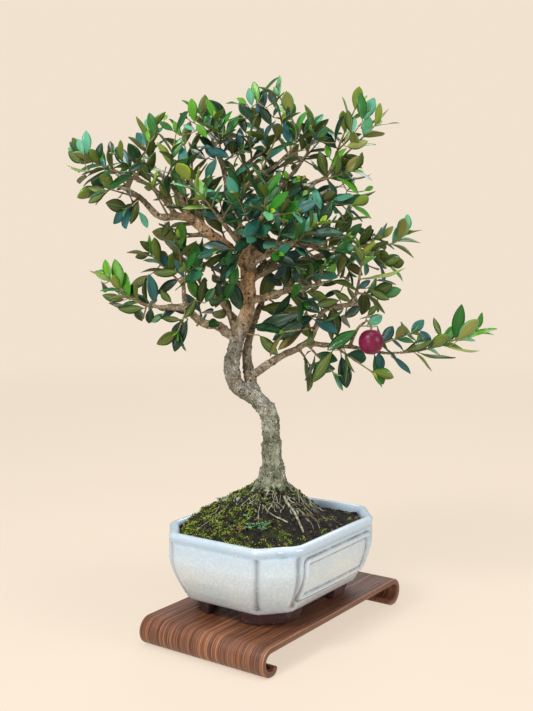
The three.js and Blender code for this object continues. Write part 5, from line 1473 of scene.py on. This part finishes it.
def grow_rootlet(shape, draw, angle, start, reach, radius, forks):
    """A root that wanders down the mound from a distance off the trunk's middle, with its forks."""
    path = []
    steps = max(4, int(reach / ROOTLET_STEP))
    heading = angle
    x, y = out_from(TRUNK_FOOT, angle, start)
    for i in range(steps + 1):
        if not in_pot(x, y):
            break
        thin = mix(radius, 0.3, i / steps)
        lift = 0.15 + 0.75 * thin + 0.6 * max(0.0, math.sin(i * 1.3 + angle * 5)) * (0 < i < steps)
        path.append((x, y, ground(x, y) + lift, thin))
        heading = mix(heading, math.atan2(y - TRUNK_FOOT[1], x - TRUNK_FOOT[0]), 0.25)
        heading += about(draw, 0.9)
        x, y = out_from((x, y), heading, ROOTLET_STEP)
    if len(path) < 3:
        return
    shape.tube(path, 6)
    if forks:
        dx, dy = path[len(path) // 2][0] - TRUNK_FOOT[0], path[len(path) // 2][1] - TRUNK_FOOT[1]
        out = math.atan2(dy, dx) + about(draw, 0.7)
        grow_rootlet(shape, draw, out, math.hypot(dx, dy), reach * 0.45, radius * 0.7, forks - 1)


def make_sprouts(finish):
    """Small weeds with rounded leaves, one of them reddish."""
    draw = seeded(SEEDS["sprouts"])
    shape = Shape()
    for x, y, red in SPROUTS:
        base = rough_soil(x, y)
        for i in range(5):
            a = i * 2.4 + next(draw)
            tall = 1.5 + 2.5 * next(draw)
            tip = (*out_from((x, y), a, 2.6), base + tall)
            bend = between((x, y, base + tall * 0.8), tip, 0.5)
            stem = [(x, y, base - 1, 0.3), (*bend, 0.26), (*tip, 0.2)]
            shape.tube(stem, 5, moss=[(0.2, red, 0)] * 15)
            round_leaf(shape, tip, a, 1.1 + 0.9 * next(draw), (next(draw) * 0.7 + 0.2, red * 0.9, 0.0))
    shape.piece("sprouts", [finish], "leaf")


def round_leaf(shape, tip, angle, radius, traits):
    """A small cupped disc on a stem."""
    points = [(tip[0], tip[1], tip[2] + 0.1), (tip[0], tip[1], tip[2] - 0.25)]
    sides = 10
    faces = []
    for k in range(sides):
        angle_here = 2 * math.pi * k / sides
        r = radius * (1 + 0.12 * math.cos(3 * angle_here))
        x, y = turned(r * math.cos(angle_here) + radius * 0.5, r * math.sin(angle_here) * 0.8, angle)
        points.append((tip[0] + x, tip[1] + y, tip[2] + 0.35 * r + 0.15 * math.sin(2 * angle_here)))
        a, b = 2 + k, 2 + (k + 1) % sides
        faces += [(0, a, b), (1, b, a)]
    shape.add(points, faces, moss=[traits] * len(points))


# ---------------------------------------------------------------- wood
def curve_point(points, t):
    """A point on the centripetal Catmull-Rom curve through the points."""
    last = len(points) - 1
    p = last * t
    i = math.floor(p)
    w = p - i
    if i >= last:
        i, w = last - 1, 1.0
    p1, p2 = points[i], points[i + 1]
    p0 = points[i - 1] if i > 0 else add(scaled(p1, 2), p2, -1)
    p3 = points[i + 2] if i + 2 <= last else add(scaled(p2, 2), p1, -1)

    def gap(a, b):
        d = sub(a, b)
        return dot(d, d) ** 0.25

    d0, d1, d2 = gap(p0, p1), gap(p1, p2), gap(p2, p3)
    found = []
    for x0, x1, x2, x3 in zip(p0[:3], p1[:3], p2[:3], p3[:3]):
        t1 = ((x1 - x0) / d0 - (x2 - x0) / (d0 + d1) + (x2 - x1) / d1) * d1
        t2 = ((x2 - x1) / d1 - (x3 - x1) / (d1 + d2) + (x3 - x2) / d2) * d1
        c2 = -3 * x1 + 3 * x2 - 2 * t1 - t2
        c3 = 2 * x1 - 2 * x2 + t1 + t2
        found.append(x1 + t1 * w + c2 * w * w + c3 * w * w * w)
    return tuple(found)


def smooth_path(points, step):
    """Points about a step apart on the curve, each with its radius."""
    path = []
    for i in range(len(points) - 1):
        spans = max(1, rounded(length(sub(points[i + 1], points[i])) / step))
        for k in range(spans):
            at = curve_point(points, (i + k / spans) / (len(points) - 1))
            path.append((*at, mix(points[i][3], points[i + 1][3], k / spans)))
    path.append(tuple(points[-1]))
    return path


def root_path(root, steps):
    """A surface root's middle line, on top of the mound."""
    degrees, reach, radius = root
    angle = math.radians(degrees)
    path = []
    for i, r in enumerate(r for r in steps if r <= reach):
        bend = angle + 0.12 * math.sin(r * 0.35 + degrees)
        x, y = out_from(TRUNK_FOOT, bend, r)
        size = mix(radius, 1.1, r / reach)
        path.append((x, y, SOIL_APEX + 6 if i == 0 else soil_height(x, y) + size * 0.6 + 0.4, size))
    return path


# Each branch in the steps that the solids take, and in the short ones of the fine wood
TRUNK_STEP, BRANCH_STEP, FINE_STEP = 12, 18, 3.0
BRANCH_PATHS = {name: smooth_path(points, TRUNK_STEP if name == "trunk" else BRANCH_STEP)
                for name, points in BRANCHES.items()}
FINE_PATHS = {name: smooth_path(points, FINE_STEP) for name, points in BRANCHES.items()}
FINE_WOOD = [point for path in FINE_PATHS.values() for point in path]
VOXEL, QUICK_VOXEL = 0.95, 1.3
BARK_HEIGHT = 480                       # where a height of 1 lies for the bark's colours


def make_wood(finish, spurs):
    """Trunk, branches and roots grown into one skin, with the bark's lumps raised on it."""
    shape = Shape()
    for name, path in FINE_PATHS.items():
        sides, wobble = 12, 0.16
        swollen = [(x, y, z, r * 1.03 + 0.12) for x, y, z, r in path]
        if name == "trunk":
            sides, wobble = 22, 0.22
            swollen = [(x - trunk_bow(z), y, z, r + flare(z)) for x, y, z, r in swollen]
        shape.tube(swollen, sides, wobble)
    grip = list(FINE_WOOD)
    for root in ROOTS:
        path = [(x, y, z - 0.7 * size, 0.5 * size) for x, y, z, size in root_path(root, range(4, 56, 3))]
        shape.tube(path, 10, 0.25)
        grip += path
    for low, high in spurs:
        path = [(*between(low, high, t), mix(low[3], high[3], t)) for t in (0, 0.5, 1)]
        shape.tube(path, 8)
        grip += path
    mesh = bpy.data.meshes.new("tree")
    mesh.from_pydata(in_row_frame(np.concatenate(shape.points), TREE_TURN).tolist(), [], shape.faces)
    obj = placed("tree", mesh)
    remesh = obj.modifiers.new("grown", "REMESH")
    remesh.mode, remesh.voxel_size = "VOXEL", VOXEL * MM
    ease = obj.modifiers.new("eased", "SMOOTH")
    ease.factor, ease.iterations = 0.5, 2
    grown = baked(obj)
    grown.name = "tree"
    bpy.data.objects.remove(obj)
    raise_bark(grown, grip)
    grown.materials.clear()
    grown.materials.append(finish)
    keep("tree", grown, ["tree_wood"])


def raise_bark(mesh, grip):
    """Lifts lumps and ridges, and stores (height, girth, crevice) for the bark's colours. The roots and
    the trunk's foot count as thick."""
    tree = search_tree(in_row_frame([p[:3] for p in grip], TREE_TURN))
    foot = Vector(in_row_frame([(*TRUNK_FOOT, 0)], TREE_TURN)[0]) / MM
    traits, moved = [], []
    for v in mesh.vertices:
        girth = grip[tree.find(v.co)[1]][3]
        at = v.co / MM
        coarse = noise.noise(Vector((at.x * 0.35, at.y * 0.35, at.z * 0.16)))
        fine = noise.noise(at * 0.55 + Vector((9, 4, 2)))
        knobs = max(0.0, noise.noise(at * 0.42 + Vector((30, 8, 5))) - 0.22)
        lift = min(1.0, girth / 5) * (0.7 * coarse + 0.5 * fine + 1.6 * knobs)
        if at.z < SOIL_APEX + 16:
            around = math.atan2(at.y - foot.y, at.x - foot.x)
            lift += 2.2 * noise.noise(Vector((6 * math.cos(around), 6 * math.sin(around), at.z * 0.06)))
        crease = max(0.0, -coarse - 0.10) * 1.8
        thick = min(1.0, girth / 8) if at.z > SOIL_APEX + 30 else 1.0
        moved.append(v.co + v.normal * lift * MM)
        traits.append((at.z / BARK_HEIGHT, thick, min(1.0, crease)))
    mesh.vertices.foreach_set("co", np.array(moved, np.float32).ravel())
    lay(mesh, "bark", traits)
    mesh.update()


# ---------------------------------------------------------------- where leaves grow
def part_way(path, place):
    """The point, radius and direction at a place from 0 to 1 along a path."""
    where = place * (len(path) - 1)
    k = min(math.floor(where), len(path) - 2)
    low, high = path[k], path[k + 1]
    return between(low, high, where - k), mix(low[3], high[3], where - k), unit(sub(high, low))


def seat_of(branch, place, tip):
    """Where a spray is seated on a branch: its end, or the end of a short spur on its side."""
    path = BRANCH_PATHS[branch]
    if place == 1:
        end = path[-1]
        return {"at": end[:3], "along": unit(sub(end, path[-2])), "radius": end[3], "spur": None}
    start, thick, _ = part_way(path, place)
    along = unit(sub(tip, start))
    at = add(start, along, thick + SPUR["length"])
    radius = SPUR["radius"] * 0.8
    return {"at": at, "along": along, "radius": radius, "spur": [(*start, SPUR["radius"]), (*at, radius)]}


class Twig:
    """A twig that bends evenly from its seat to its end."""

    def __init__(self, seat, spray_tip, leaf_length):
        self.start = add(seat["at"], seat["along"], SEAT_GAP)
        self.tip = add(spray_tip, unit(sub(spray_tip, self.start)), -leaf_length * LEAF_BEYOND_TWIG)
        self.span = length(sub(self.tip, self.start))
        self.knee = add(self.start, seat["along"], self.span * 0.4)
        self.thick = min(TWIG["root"], seat["radius"] * 0.95)
        flat = (1, 0, 0) if abs(seat["along"][2]) > 0.95 else (0, 0, 1)
        self.guide = unit(cross(seat["along"], flat))

    def place(self, t):
        return between(between(self.start, self.knee, t), between(self.knee, self.tip, t), t)

    def frame(self, t):
        along = unit(add(scaled(sub(self.knee, self.start), 1 - t), sub(self.tip, self.knee), t))
        across = square_to(along, self.guide)
        return along, across, cross(along, across)

    def radius(self, t):
        return mix(self.thick, TWIG["tip"], t)

    def bud(self):
        return add(self.place(1), self.frame(1)[0], TWIG["bud"])

    def rods(self):
        n = TWIG["spans"]
        spans = [(self.place(i / n), self.place((i + 1) / n), self.radius(i / n)) for i in range(n)]
        return spans + [(self.place(1), self.bud(), self.radius(1))]


# (place along a blade, share of its width) where it is tested for touching another
BLADE_SAMPLES = [(0.2, 0.45), (0.3, 0.8), (0.44, 1), (0.58, 1), (0.72, 0.9), (0.86, 0.5), (1, 0)]
SAMPLE_T = np.array([t for t, width in BLADE_SAMPLES for _ in range(3 if width else 1)])
SAMPLE_V = np.array([v * width for _, width in BLADE_SAMPLES for v in ((-1, 0, 1) if width else (0,))])
POSE = ("root", "along", "normal", "across")       # what says where a leaf is

# How far a leaf stays from its own twig, other wood, its own twig's leaves and other leaves: as in the
# solids, in the twigs that fill the crown, in single leaves between those, and in leaves seen in the photo.
TRUE_MARGINS, DENSE_MARGINS = (1.0, 1.9, 1.7, 2.3), (0.5, 1.0, 0.9, 1.1)
GAP_MARGINS, SEEN_MARGINS = (0.3, 0.5, 0.5, 0.6), (0.2, 0.4, 0.3, 0.3)


class Crown:
    """Every blade and rod so far, so that a new blade grows clear of them."""

    def __init__(self, rods):
        self.rods = []
        self.add_rods(rods)
        self.leaves = []
        self.arrays = {key: np.zeros((0, 3)) for key in (*POSE, "centre")}
        self.sizes, self.owners = np.zeros(0), []
        self.samples = np.zeros((0, len(SAMPLE_T), 3))

    def add_rods(self, rods):
        self.rods += rods
        self.a = np.array([r[0] for r in self.rods])
        self.b = np.array([r[1] for r in self.rods])
        self.r = np.array([r[2] for r in self.rods])
        self.middle = (self.a + self.b) * 0.5
        self.reach = np.linalg.norm(self.b - self.a, axis=1) / 2 + self.r

    def sample(self, leaf):
        """Points on a blade."""
        along = np.outer(SAMPLE_T * leaf["size"], leaf["along"])
        across = np.outer(SAMPLE_V * (leaf["size"] * LEAF_WIDTH / 2), leaf["across"])
        arch = np.outer(LEAF_ARCH * leaf["size"] * SAMPLE_T ** 2, leaf["normal"])
        return np.array(leaf["root"]) + along + across + arch

    @staticmethod
    def touches(points, root, along, normal, across, size, near):
        """Whether some points come near to a blade."""
        offset = points - root
        u = (offset * along).sum(-1) / size
        v = np.abs((offset * across).sum(-1))
        w = (offset * normal).sum(-1) - LEAF_ARCH * size * u * u
        inside = (u >= 0.12) & (u <= 1.06) & (v <= size * LEAF_WIDTH / 2 + near * 0.5)
        return bool((inside & (np.abs(w) < near)).any())

    @staticmethod
    def in_picture(leaf):
        """Whether a filler's leaf keeps to the outline that the photo shows."""
        spots = [add(leaf["root"], leaf["along"], leaf["size"] * part) for part in (0.3, 0.65, 1.0)]
        return all(in_crown(u, v) for u, v in photo_pixels(spots))

    def clear(self, leaf, own, margins):
        """Whether a leaf keeps its margins. own is the range of its own twig's rods."""
        own_rod, other_rod, own_leaf, other_leaf = margins
        points = self.sample(leaf)
        centre = np.array(add(leaf["root"], leaf["along"], leaf["size"] / 2))
        if margins in (DENSE_MARGINS, GAP_MARGINS) and not self.in_picture(leaf):
            return False
        close = np.nonzero(np.linalg.norm(self.middle - centre, axis=1) <= leaf["size"] + self.reach + 2)[0]
        if len(close):
            a, axis = self.a[close], self.b[close] - self.a[close]
            offset = points[:, None] - a[None]
            t = np.clip((offset * axis).sum(-1) / (axis * axis).sum(-1), 0, 1)
            gap = np.linalg.norm(offset - t[..., None] * axis, axis=-1) - self.r[close]
            margin = np.where((close >= own[0]) & (close < own[1]), own_rod, other_rod)
            if (gap < margin).any():
                return False
        if not self.leaves:
            return True
        away = np.linalg.norm(self.arrays["centre"] - centre, axis=1)
        for i in np.nonzero(away <= (leaf["size"] + self.sizes) / 2 + 3)[0]:
            near = own_leaf if self.owners[i] == leaf["spray"] else other_leaf
            other = [self.arrays[key][i] for key in POSE]
            if self.touches(points, *other, self.sizes[i], near):
                return False
            mine = [np.array(leaf[key]) for key in POSE]
            if self.touches(self.samples[i], *mine, leaf["size"], near):
                return False
        return True

    def put(self, leaf):
        self.leaves.append(leaf)
        for key in POSE:
            self.arrays[key] = np.vstack([self.arrays[key], leaf[key]])
        centre = add(leaf["root"], leaf["along"], leaf["size"] / 2)
        self.arrays["centre"] = np.vstack([self.arrays["centre"], centre])
        self.sizes = np.append(self.sizes, leaf["size"])
        self.owners.append(leaf["spray"])
        self.samples = np.concatenate([self.samples, self.sample(leaf)[None]])


CROWN_MIDDLE = (-20, 6, 330)
SEEN_SHIFTS = (0, -5, 5, -10, 10, -16)             # tried one after the other, to set a leaf clear in depth

# Single leaves in gaps: how many random pixels of the field are tried, how far from other leaves they have
# to be, the pixel row below which undersides show, the depths that are tried, and how far wood may be
GAP_TRIES, GAP_PIXELS, GAP_UNDERSIDES = 5000, 3.0, 235
GAP_FIELD = {"left": 66, "right": 420, "top": 76, "bottom": 330}
GAP_DEPTHS = (-22, 2, 26, -34, 14, -10, 38, -4, 20)
GAP_STALK = (3, 34)


def new_leaf(spray, root, direction, face, size, **traits):
    """A leaf whose upper side looks towards face. part is its place along its twig."""
    normal = square_to(direction, face)
    return {"spray": spray, "root": root, "along": direction, "normal": normal,
            "across": cross(direction, normal), "size": size, "part": 0.0, **traits}


def grow_leaves(name, twig, pairs, leaf_length, draw, crown, own, margins, attempts=14):
    """Opposite pairs, each turned a quarter from the last, leaning towards the twig's end."""
    grown = []
    for pair in range(pairs):
        part = mix(0.22, 0.98, pair / (pairs - 1))
        along, across, up = twig.frame(part)
        for quarter in (pair % 2, pair % 2 + 2):
            for attempt in range(attempts):
                wild = 0.25 + attempt * 0.07
                turn = (quarter + 0.5) * math.pi / 2 + about(draw, 2) * min(wild, 0.7)
                lean = max(0.45, mix(1.05, 0.5, part) + about(draw, wild))
                roll = about(draw, 1.2) * wild
                size = leaf_length * mix(1.08, 0.86, part) * (0.86 + 0.28 * next(draw))
                direction = unit(swung(along, swung(across, up, turn), lean))
                face = add(add(along, (0, 0, 1), 0.5), cross(direction, along), roll)
                if margins is DENSE_MARGINS:
                    face = add(face, unit(sub(twig.place(part), CROWN_MIDDLE)), 1.3)
                leaf = new_leaf(name, twig.place(part), direction, face, size, part=part)
                if crown.clear(leaf, own, margins):
                    crown.put(leaf)
                    grown.append(leaf)
                    break
    return grown


def rods_of(path):
    """The straight rods between a path's points."""
    return [(a[:3], b[:3], max(a[3], b[3])) for a, b in zip(path, path[1:])]


def olive_rod():
    """The fruit as an upright rod that leaves keep clear of."""
    x, y, z = OLIVE["centre"]
    inset = (OLIVE["height"] - OLIVE["width"]) / 2
    return ((x, y, z - inset), (x, y, z + inset), OLIVE["width"] / 2)


def grow_crown():
    """The solids' sprays, blade for blade, then the leaves seen in the photo and what fills the crown."""
    draw = seeded(SEEDS["crown"])
    seats = [seat_of(branch, place, tip) for _, branch, place, tip, _, _ in SPRAYS]
    twigs = [Twig(seat, spray[3], spray[5]) for seat, spray in zip(seats, SPRAYS)]
    spurs = [seat["spur"] for seat in seats if seat["spur"]]
    rods = [rod for path in BRANCH_PATHS.values() for rod in rods_of(path)]
    rods += [rod for spur in spurs for rod in rods_of(spur)]
    first = len(rods)
    for twig in twigs:
        rods += twig.rods()
    rods.append(olive_rod())
    crown = Crown(rods)
    sprays = []
    for i, (name, _, _, _, pairs, leaf_length) in enumerate(SPRAYS):
        count = len(twigs[i].rods())
        own = (first + i * count, first + (i + 1) * count)
        leaves = grow_leaves(name, twigs[i], pairs, leaf_length, draw, crown, own, TRUE_MARGINS)
        young = YOUNG.get(name, YOUNG_USUAL)
        sprays.append({"name": name, "twig": twigs[i], "leaves": leaves, "young": young})
    seen = grow_seen(crown)
    fillers = grow_fillers(crown)
    fill_gaps(crown, twigs + [filler["twig"] for filler in fillers], seen)
    return sprays, fillers, spurs, seen


def grow_seen(crown):
    """The leaves that stand out in the photo, each on a thin stalk from the nearest wood."""
    draw = seeded(SEEDS["seen"])
    wood = list(FINE_WOOD)
    stalks, leaves = [], []
    for group, (depth, marks) in SEEN_LEAVES.items():
        for u0, v0, u1, v1, kind in marks:
            young, blue, under = LOOKS[kind.split()[0]]
            slant = about(draw, 0.6)
            face = add(scaled(TREE_AHEAD, -1), (0, 0, 1), 0.3)
            if kind.endswith("thin"):
                face = add((0, 0, 1), TREE_AHEAD, -0.3)
            face = add(face, (about(draw), 0, about(draw)), 0.5)
            if under:
                face = scaled(face, -1)
            for shift in SEEN_SHIFTS:
                root = seen_at(u0, v0, depth + shift)
                reach = length(sub(seen_at(u1, v1, depth + shift), root))
                tip = sub(seen_at(u1, v1, depth + shift + slant * reach), root)
                leaf = new_leaf("seen_" + group, root, unit(tip), face, length(tip), young=young, blue=blue)
                if crown.clear(leaf, (0, 0), SEEN_MARGINS):
                    break
            crown.put(leaf)
            leaves.append(leaf)
            stalk = stalk_to(root, wood)
            if stalk:
                stalks.append(stalk)
                wood += stalk
                crown.add_rods(rods_of(stalk[::4]))
    return {"stalks": stalks, "leaves": leaves}


def stalk_to(root, wood):
    """A thin stalk to a leaf's root from the nearest wood, or None where the leaf sits on it."""
    near = min(wood, key=lambda p: length(sub(p[:3], root)))
    gap = length(sub(root, near[:3]))
    if gap <= 2.5:
        return None
    sag = add(between(near[:3], root, 0.5), (0, 0, 1), -0.06 * gap)
    thick = min(near[3], 0.5 + 0.012 * gap)
    return [(*curve_point([near[:3], sag, root], i / 8), mix(thick, 0.42, i / 8)) for i in range(9)]


def fill_gaps(crown, twigs, seen):
    """Single leaves where the picture would show light between the others, on short stalks."""
    draw = seeded(SEEDS["gaps"])
    wood = FINE_WOOD + [(*twig.place(t), twig.radius(t)) for twig in twigs for t in (0.1, 0.4, 0.7, 1.0)]
    places = np.array([point[:3] for point in wood])
    covered = photo_pixels(crown.samples)
    for _ in range(GAP_TRIES):
        u = mix(GAP_FIELD["left"], GAP_FIELD["right"], next(draw))
        v = mix(GAP_FIELD["top"], GAP_FIELD["bottom"], next(draw))
        if not in_crown(u, v) or np.hypot(*(covered - (u, v)).T).min() < GAP_PIXELS:
            continue
        for depth in GAP_DEPTHS:
            middle = seen_at(u, v, depth)
            reach = np.linalg.norm(places - middle, axis=1)
            near = int(reach.argmin())
            if not GAP_STALK[0] < reach[near] < GAP_STALK[1]:
                continue
            spin = [about(draw) for _ in range(6)]
            away = unit(sub(middle, wood[near][:3]))
            direction = unit(add(add(away, spin[:3], 1.2), (0, 0, 1), 0.25))
            size = 19 + 9 * next(draw)
            face = add(add(scaled(TREE_AHEAD, -1), (0, 0, 1), 0.7), spin[3:], 1.1)
            if v > GAP_UNDERSIDES and spin[0] > -0.1:
                face = scaled(face, -1)
            leaf = new_leaf("gap", add(middle, direction, -0.5 * size), direction, face, size,
                            young=0.02 + 0.4 * next(draw) ** 2, blue=next(draw))
            if crown.clear(leaf, (0, 0), GAP_MARGINS):
                crown.put(leaf)
                seen["leaves"].append(leaf)
                covered = np.vstack([covered, photo_pixels(crown.sample(leaf))])
                stalk = stalk_to(leaf["root"], wood)
                if stalk:
                    seen["stalks"].append(stalk)
                    crown.add_rods(rods_of(stalk[::4]))
                break


def grow_fillers(crown):
    """Short leafy twigs between the sprays. They stay inside the reach that the sprays give the crown."""
    draw = seeded(SEEDS["fillers"])
    fillers = []
    for branch, low, high, number in FILLERS:
        path = BRANCH_PATHS[branch]
        for i in range(number):
            start, radius, along = part_way(path, mix(low, high, (i + next(draw)) / number))
            leaf_length = 19 + 10 * next(draw)
            for _ in range(6):
                spin = unit((about(draw), about(draw), about(draw)))
                outward = unit(add(sub(start, CROWN_MIDDLE), (0, 0, 30)))
                heading = unit(add(add(scaled(spin, 1.15), outward, 0.55), along, 0.35))
                heading = unit(add(heading, (0, 0, 0.25)))
                reach = 16 + 20 * next(draw)
                seat = {"at": add(start, heading, radius * 0.6), "along": heading, "radius": 1.2}
                tip = add(start, heading, radius + reach + leaf_length * LEAF_BEYOND_TWIG)
                twig = Twig(seat, tip, leaf_length)
                leaves = grow_leaves(f"filler_{len(fillers)}", twig, 3, leaf_length, draw, crown,
                                     (len(crown.rods), len(crown.rods)), DENSE_MARGINS, 6)
                if len(leaves) >= 3:
                    crown.add_rods(twig.rods())
                    fillers.append({"name": branch, "twig": twig, "leaves": leaves,
                                    "young": 0.05 + 0.3 * next(draw) ** 2})
                    break
    return fillers


# ---------------------------------------------------------------- leaves
# Rows along a fine blade and columns across it, its width, and the length past which it hardly widens
ROWS = np.array([0.0, 0.05, 0.1, 0.16, 0.24, 0.34, 0.45, 0.56, 0.67, 0.77, 0.86, 0.93, 0.975, 1.0])
COLUMNS = np.array([-1.0, -0.55, 0.0, 0.55, 1.0])
FINE_WIDTH, WIDE_LEAF = 0.46, 23


def half_widths(rows, lean):
    """A blade's half width along it, as a share of its greatest: a petiole, then a leaf that is widest
    past its middle. A greater lean puts that further out."""
    inner = np.clip((rows - 0.05) / 0.95, 0, 1)
    return np.maximum(np.sin(math.pi * inner ** lean) ** 0.74, np.where(rows < 0.2, 0.09, 0.012))


def blade_faces():
    """Faces of a closed blade, whose top and underside share the points along both edges, and the
    (side, row, column) of each point."""
    last = len(COLUMNS) - 1
    index = {}

    def spot(side, i, j):
        return index[(0 if j in (0, last) else side, i, j)]

    for side in (0, 1):
        for i in range(len(ROWS)):
            for j in range(last + 1):
                index.setdefault((0 if j in (0, last) else side, i, j), len(index))
    faces = []
    for i in range(len(ROWS) - 1):
        for j in range(last):
            quad = [(i, j), (i, j + 1), (i + 1, j + 1), (i + 1, j)]
            faces.append([spot(0, *q) for q in quad])
            faces.append([spot(1, *q) for q in reversed(quad)])
    return faces, list(index)


BLADE_FACES, BLADE_KEYS = blade_faces()
KEY_SIDE = np.array([k[0] for k in BLADE_KEYS])
KEY_T = ROWS[[k[1] for k in BLADE_KEYS]]
KEY_V = COLUMNS[[k[2] for k in BLADE_KEYS]]


def first_trait(values):
    """Vectors that hold a value and then two noughts, for values that are the first trait of three."""
    return np.stack([values, np.zeros(len(values)), np.zeros(len(values))], 1)


def add_leaf(shape, leaf, young, draw):
    """One blade: folded a little along its midrib, arched, and gently curled."""
    size = leaf["size"]
    broad = min(size, WIDE_LEAF + 0.2 * (size - WIDE_LEAF)) * FINE_WIDTH / 2
    half = broad * (0.8 + 0.34 * next(draw)) * half_widths(KEY_T, 0.95 + 0.25 * next(draw))
    fold = (0.08 + 0.26 * next(draw)) * half * np.abs(KEY_V) ** 1.5
    wave = 0.012 * size * np.sin(KEY_T * 9 + FULL_TURN * next(draw)) * np.abs(KEY_V) ** 2
    curl = about(draw, 0.05) * size * KEY_T ** 2
    twist = about(draw, 0.5) * KEY_T
    rib = 0.35 * np.exp(-(KEY_V / 0.25) ** 2) * (1 - KEY_T)
    thick = np.where(np.abs(KEY_V) == 1.0, 0.0, 0.28 * (1 - 0.5 * np.abs(KEY_V)) + rib)
    rise = fold + wave + LEAF_ARCH * size * KEY_T ** 2 - KEY_SIDE * thick
    aside = KEY_V * half
    points = np.array(leaf["root"]) + np.outer(KEY_T * size, leaf["along"])
    points = points + np.outer(aside * np.cos(twist) + curl, leaf["across"])
    points = points + np.outer(rise + aside * np.sin(twist), leaf["normal"])
    tone = leaf.get("young", young + about(draw, 0.4) + 0.22 * leaf["part"] ** 2)
    if next(draw) > 0.9 and "young" not in leaf:
        tone += 0.3
    traits = np.zeros((len(points), 3))
    traits[:, 0] = clamped(tone)
    # the second trait: how much painted bluish reflection a top shows, or how gold an underside is
    traits[:, 1] = leaf.get("blue", next(draw))
    outward = add(unit(sub(leaf["root"], CROWN_MIDDLE)), (0, 0, 0.45))
    inside_out = "young" not in leaf and dot(leaf["normal"], outward) < 0
    traits[:, 2] = 1 - KEY_SIDE if inside_out else KEY_SIDE
    shape.add(points, BLADE_FACES, leaf=traits, blade=np.stack([KEY_V, KEY_T, np.zeros(len(KEY_T))], 1))


def add_twig(shape, twig, young, draw):
    """The twig, knobbly where its leaves sit, and a pair of tiny leaves round its bud."""
    steps, sides = 14, 7
    path = []
    for i in range(steps + 1):
        t = i / steps
        knob = 0.18 * max(0.0, math.cos(t * FULL_TURN * 3.2)) ** 6
        path.append((*twig.place(t), twig.radius(t) * (1 + knob) * 0.95))
    path.append((*twig.bud(), 0.12))
    fresh = np.repeat(np.linspace(0, 1, len(path)) ** 1.5, sides)
    traits = first_trait(np.clip(fresh * (0.4 + young), 0, 1))
    shape.tube(path, sides, look=1, leaf=traits, blade=np.zeros(traits.shape))
    along, across, up = twig.frame(1)
    turn = next(draw) * 3.14
    for a in (turn, turn + math.pi):
        out = swung(across, up, a)
        direction = unit(add(scaled(along, 0.93), out, 0.36))
        leaf = new_leaf("bud", twig.place(1), direction, scaled(out, -1), 6.5 + 3 * next(draw), part=1.0)
        add_leaf(shape, leaf, min(1.0, young + 0.4), draw)


def make_foliage(name, sprays, finishes, replaces=()):
    """One piece of leafy twigs."""
    draw = seeded(sum(ord(c) * (i + 1) for i, c in enumerate(name)))
    shape = Shape()
    for spray in sprays:
        add_twig(shape, spray["twig"], spray["young"], draw)
        for leaf in spray["leaves"]:
            add_leaf(shape, leaf, spray["young"], draw)
    shape.piece(name, finishes, "leaf", replaces)


def make_seen(seen, finishes):
    """The listed leaves and the leaves placed in gaps, with their stalks."""
    draw = seeded(SEEDS["placed"])
    shape = Shape()
    for stalk in seen["stalks"]:
        traits = first_trait(np.full(len(stalk) * 6, 0.3))
        shape.tube(stalk, 6, look=1, leaf=traits, blade=np.zeros(traits.shape))
    for leaf in seen["leaves"]:
        add_leaf(shape, leaf, 0.0, draw)
    shape.piece("leaves_placed", finishes, "leaf")


def make_leaves(sprays, fillers, finishes):
    for spray in sprays:
        make_foliage("leaves_" + spray["name"], [spray], finishes, ["spray_" + spray["name"]])
    for branch in dict.fromkeys(f["name"] for f in fillers):
        make_foliage("filler_" + branch, [f for f in fillers if f["name"] == branch], finishes)


# ---------------------------------------------------------------- fruit
def make_fruit(finishes):
    """The ripe fruit, dimpled where its stalk enters, and the stalk from its twig."""
    x, y, z = OLIVE["centre"]
    shape = Shape()
    rings, sides = 30, 36
    points = []
    for i in range(rings + 1):
        a = math.pi * i / rings
        radius = OLIVE["width"] / 2 * math.sin(a) ** 0.92 + 1e-4
        height = -OLIVE["height"] / 2 * math.cos(a)
        dimple = 1.0 * bell(radius, 2.6) if i > rings / 2 else -0.5 * bell(radius, 1.5)
        for k in range(sides):
            turn = 2 * math.pi * k / sides
            r = radius * (1 + 0.012 * math.sin(turn * 2 + 1) * math.sin(a))
            points.append((*out_from((x, y), turn, r), z + height - dimple))
    shape.add(points, loft_faces(rings + 1, sides), leaf=first_trait(np.full(len(points), 0.6)))
    path = BRANCH_PATHS["fruit_twig"]
    heading = unit(sub(path[-1], path[-2]))
    seat = add(path[-1], heading, SEAT_GAP)
    top = (x, y, z + OLIVE["height"] / 2)
    stem = [seat, add(seat, heading, 2), add(top, (0, 0, 1), 3), add(top, (0, 0, -1), 1.5)]
    fine = [(*curve_point(stem, i / 16), OLIVE["stalk"] * (1.25 if i > 13 else 1.0)) for i in range(17)]
    shape.tube(fine, 8, look=1, leaf=first_trait(np.full(len(fine) * 8, 0.6)))
    shape.piece("ripe_olive", finishes, "fruit", ["olive"])


# ---------------------------------------------------------------- everything
def dress():
    set_camera()
    set_world()
    set_lights()
    make_floor()
    make_stand(walnut_finish())
    make_pot(glaze_finish())
    make_feet(clay_finish())
    make_soil(earth_finish())
    make_crumbs(crumb_finish())
    make_moss(moss_finish())
    make_rootlets(rootlet_finish())
    make_sprouts(sprout_finish())
    drain_mesh = mesh_finish()
    for side in ("left", "right"):
        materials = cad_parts[f"drain_screen_{side}"].data.materials
        materials.clear()
        materials.append(drain_mesh)
    sprays, fillers, spurs, seen = grow_crown()
    make_wood(bark_finish(), spurs)
    leaf, twig = leaf_finish(), twig_finish()
    make_leaves(sprays, fillers, [leaf, twig])
    make_seen(seen, [leaf, twig])
    make_fruit([fruit_finish(), twig])


dress()
bpy.context.view_layer.update()
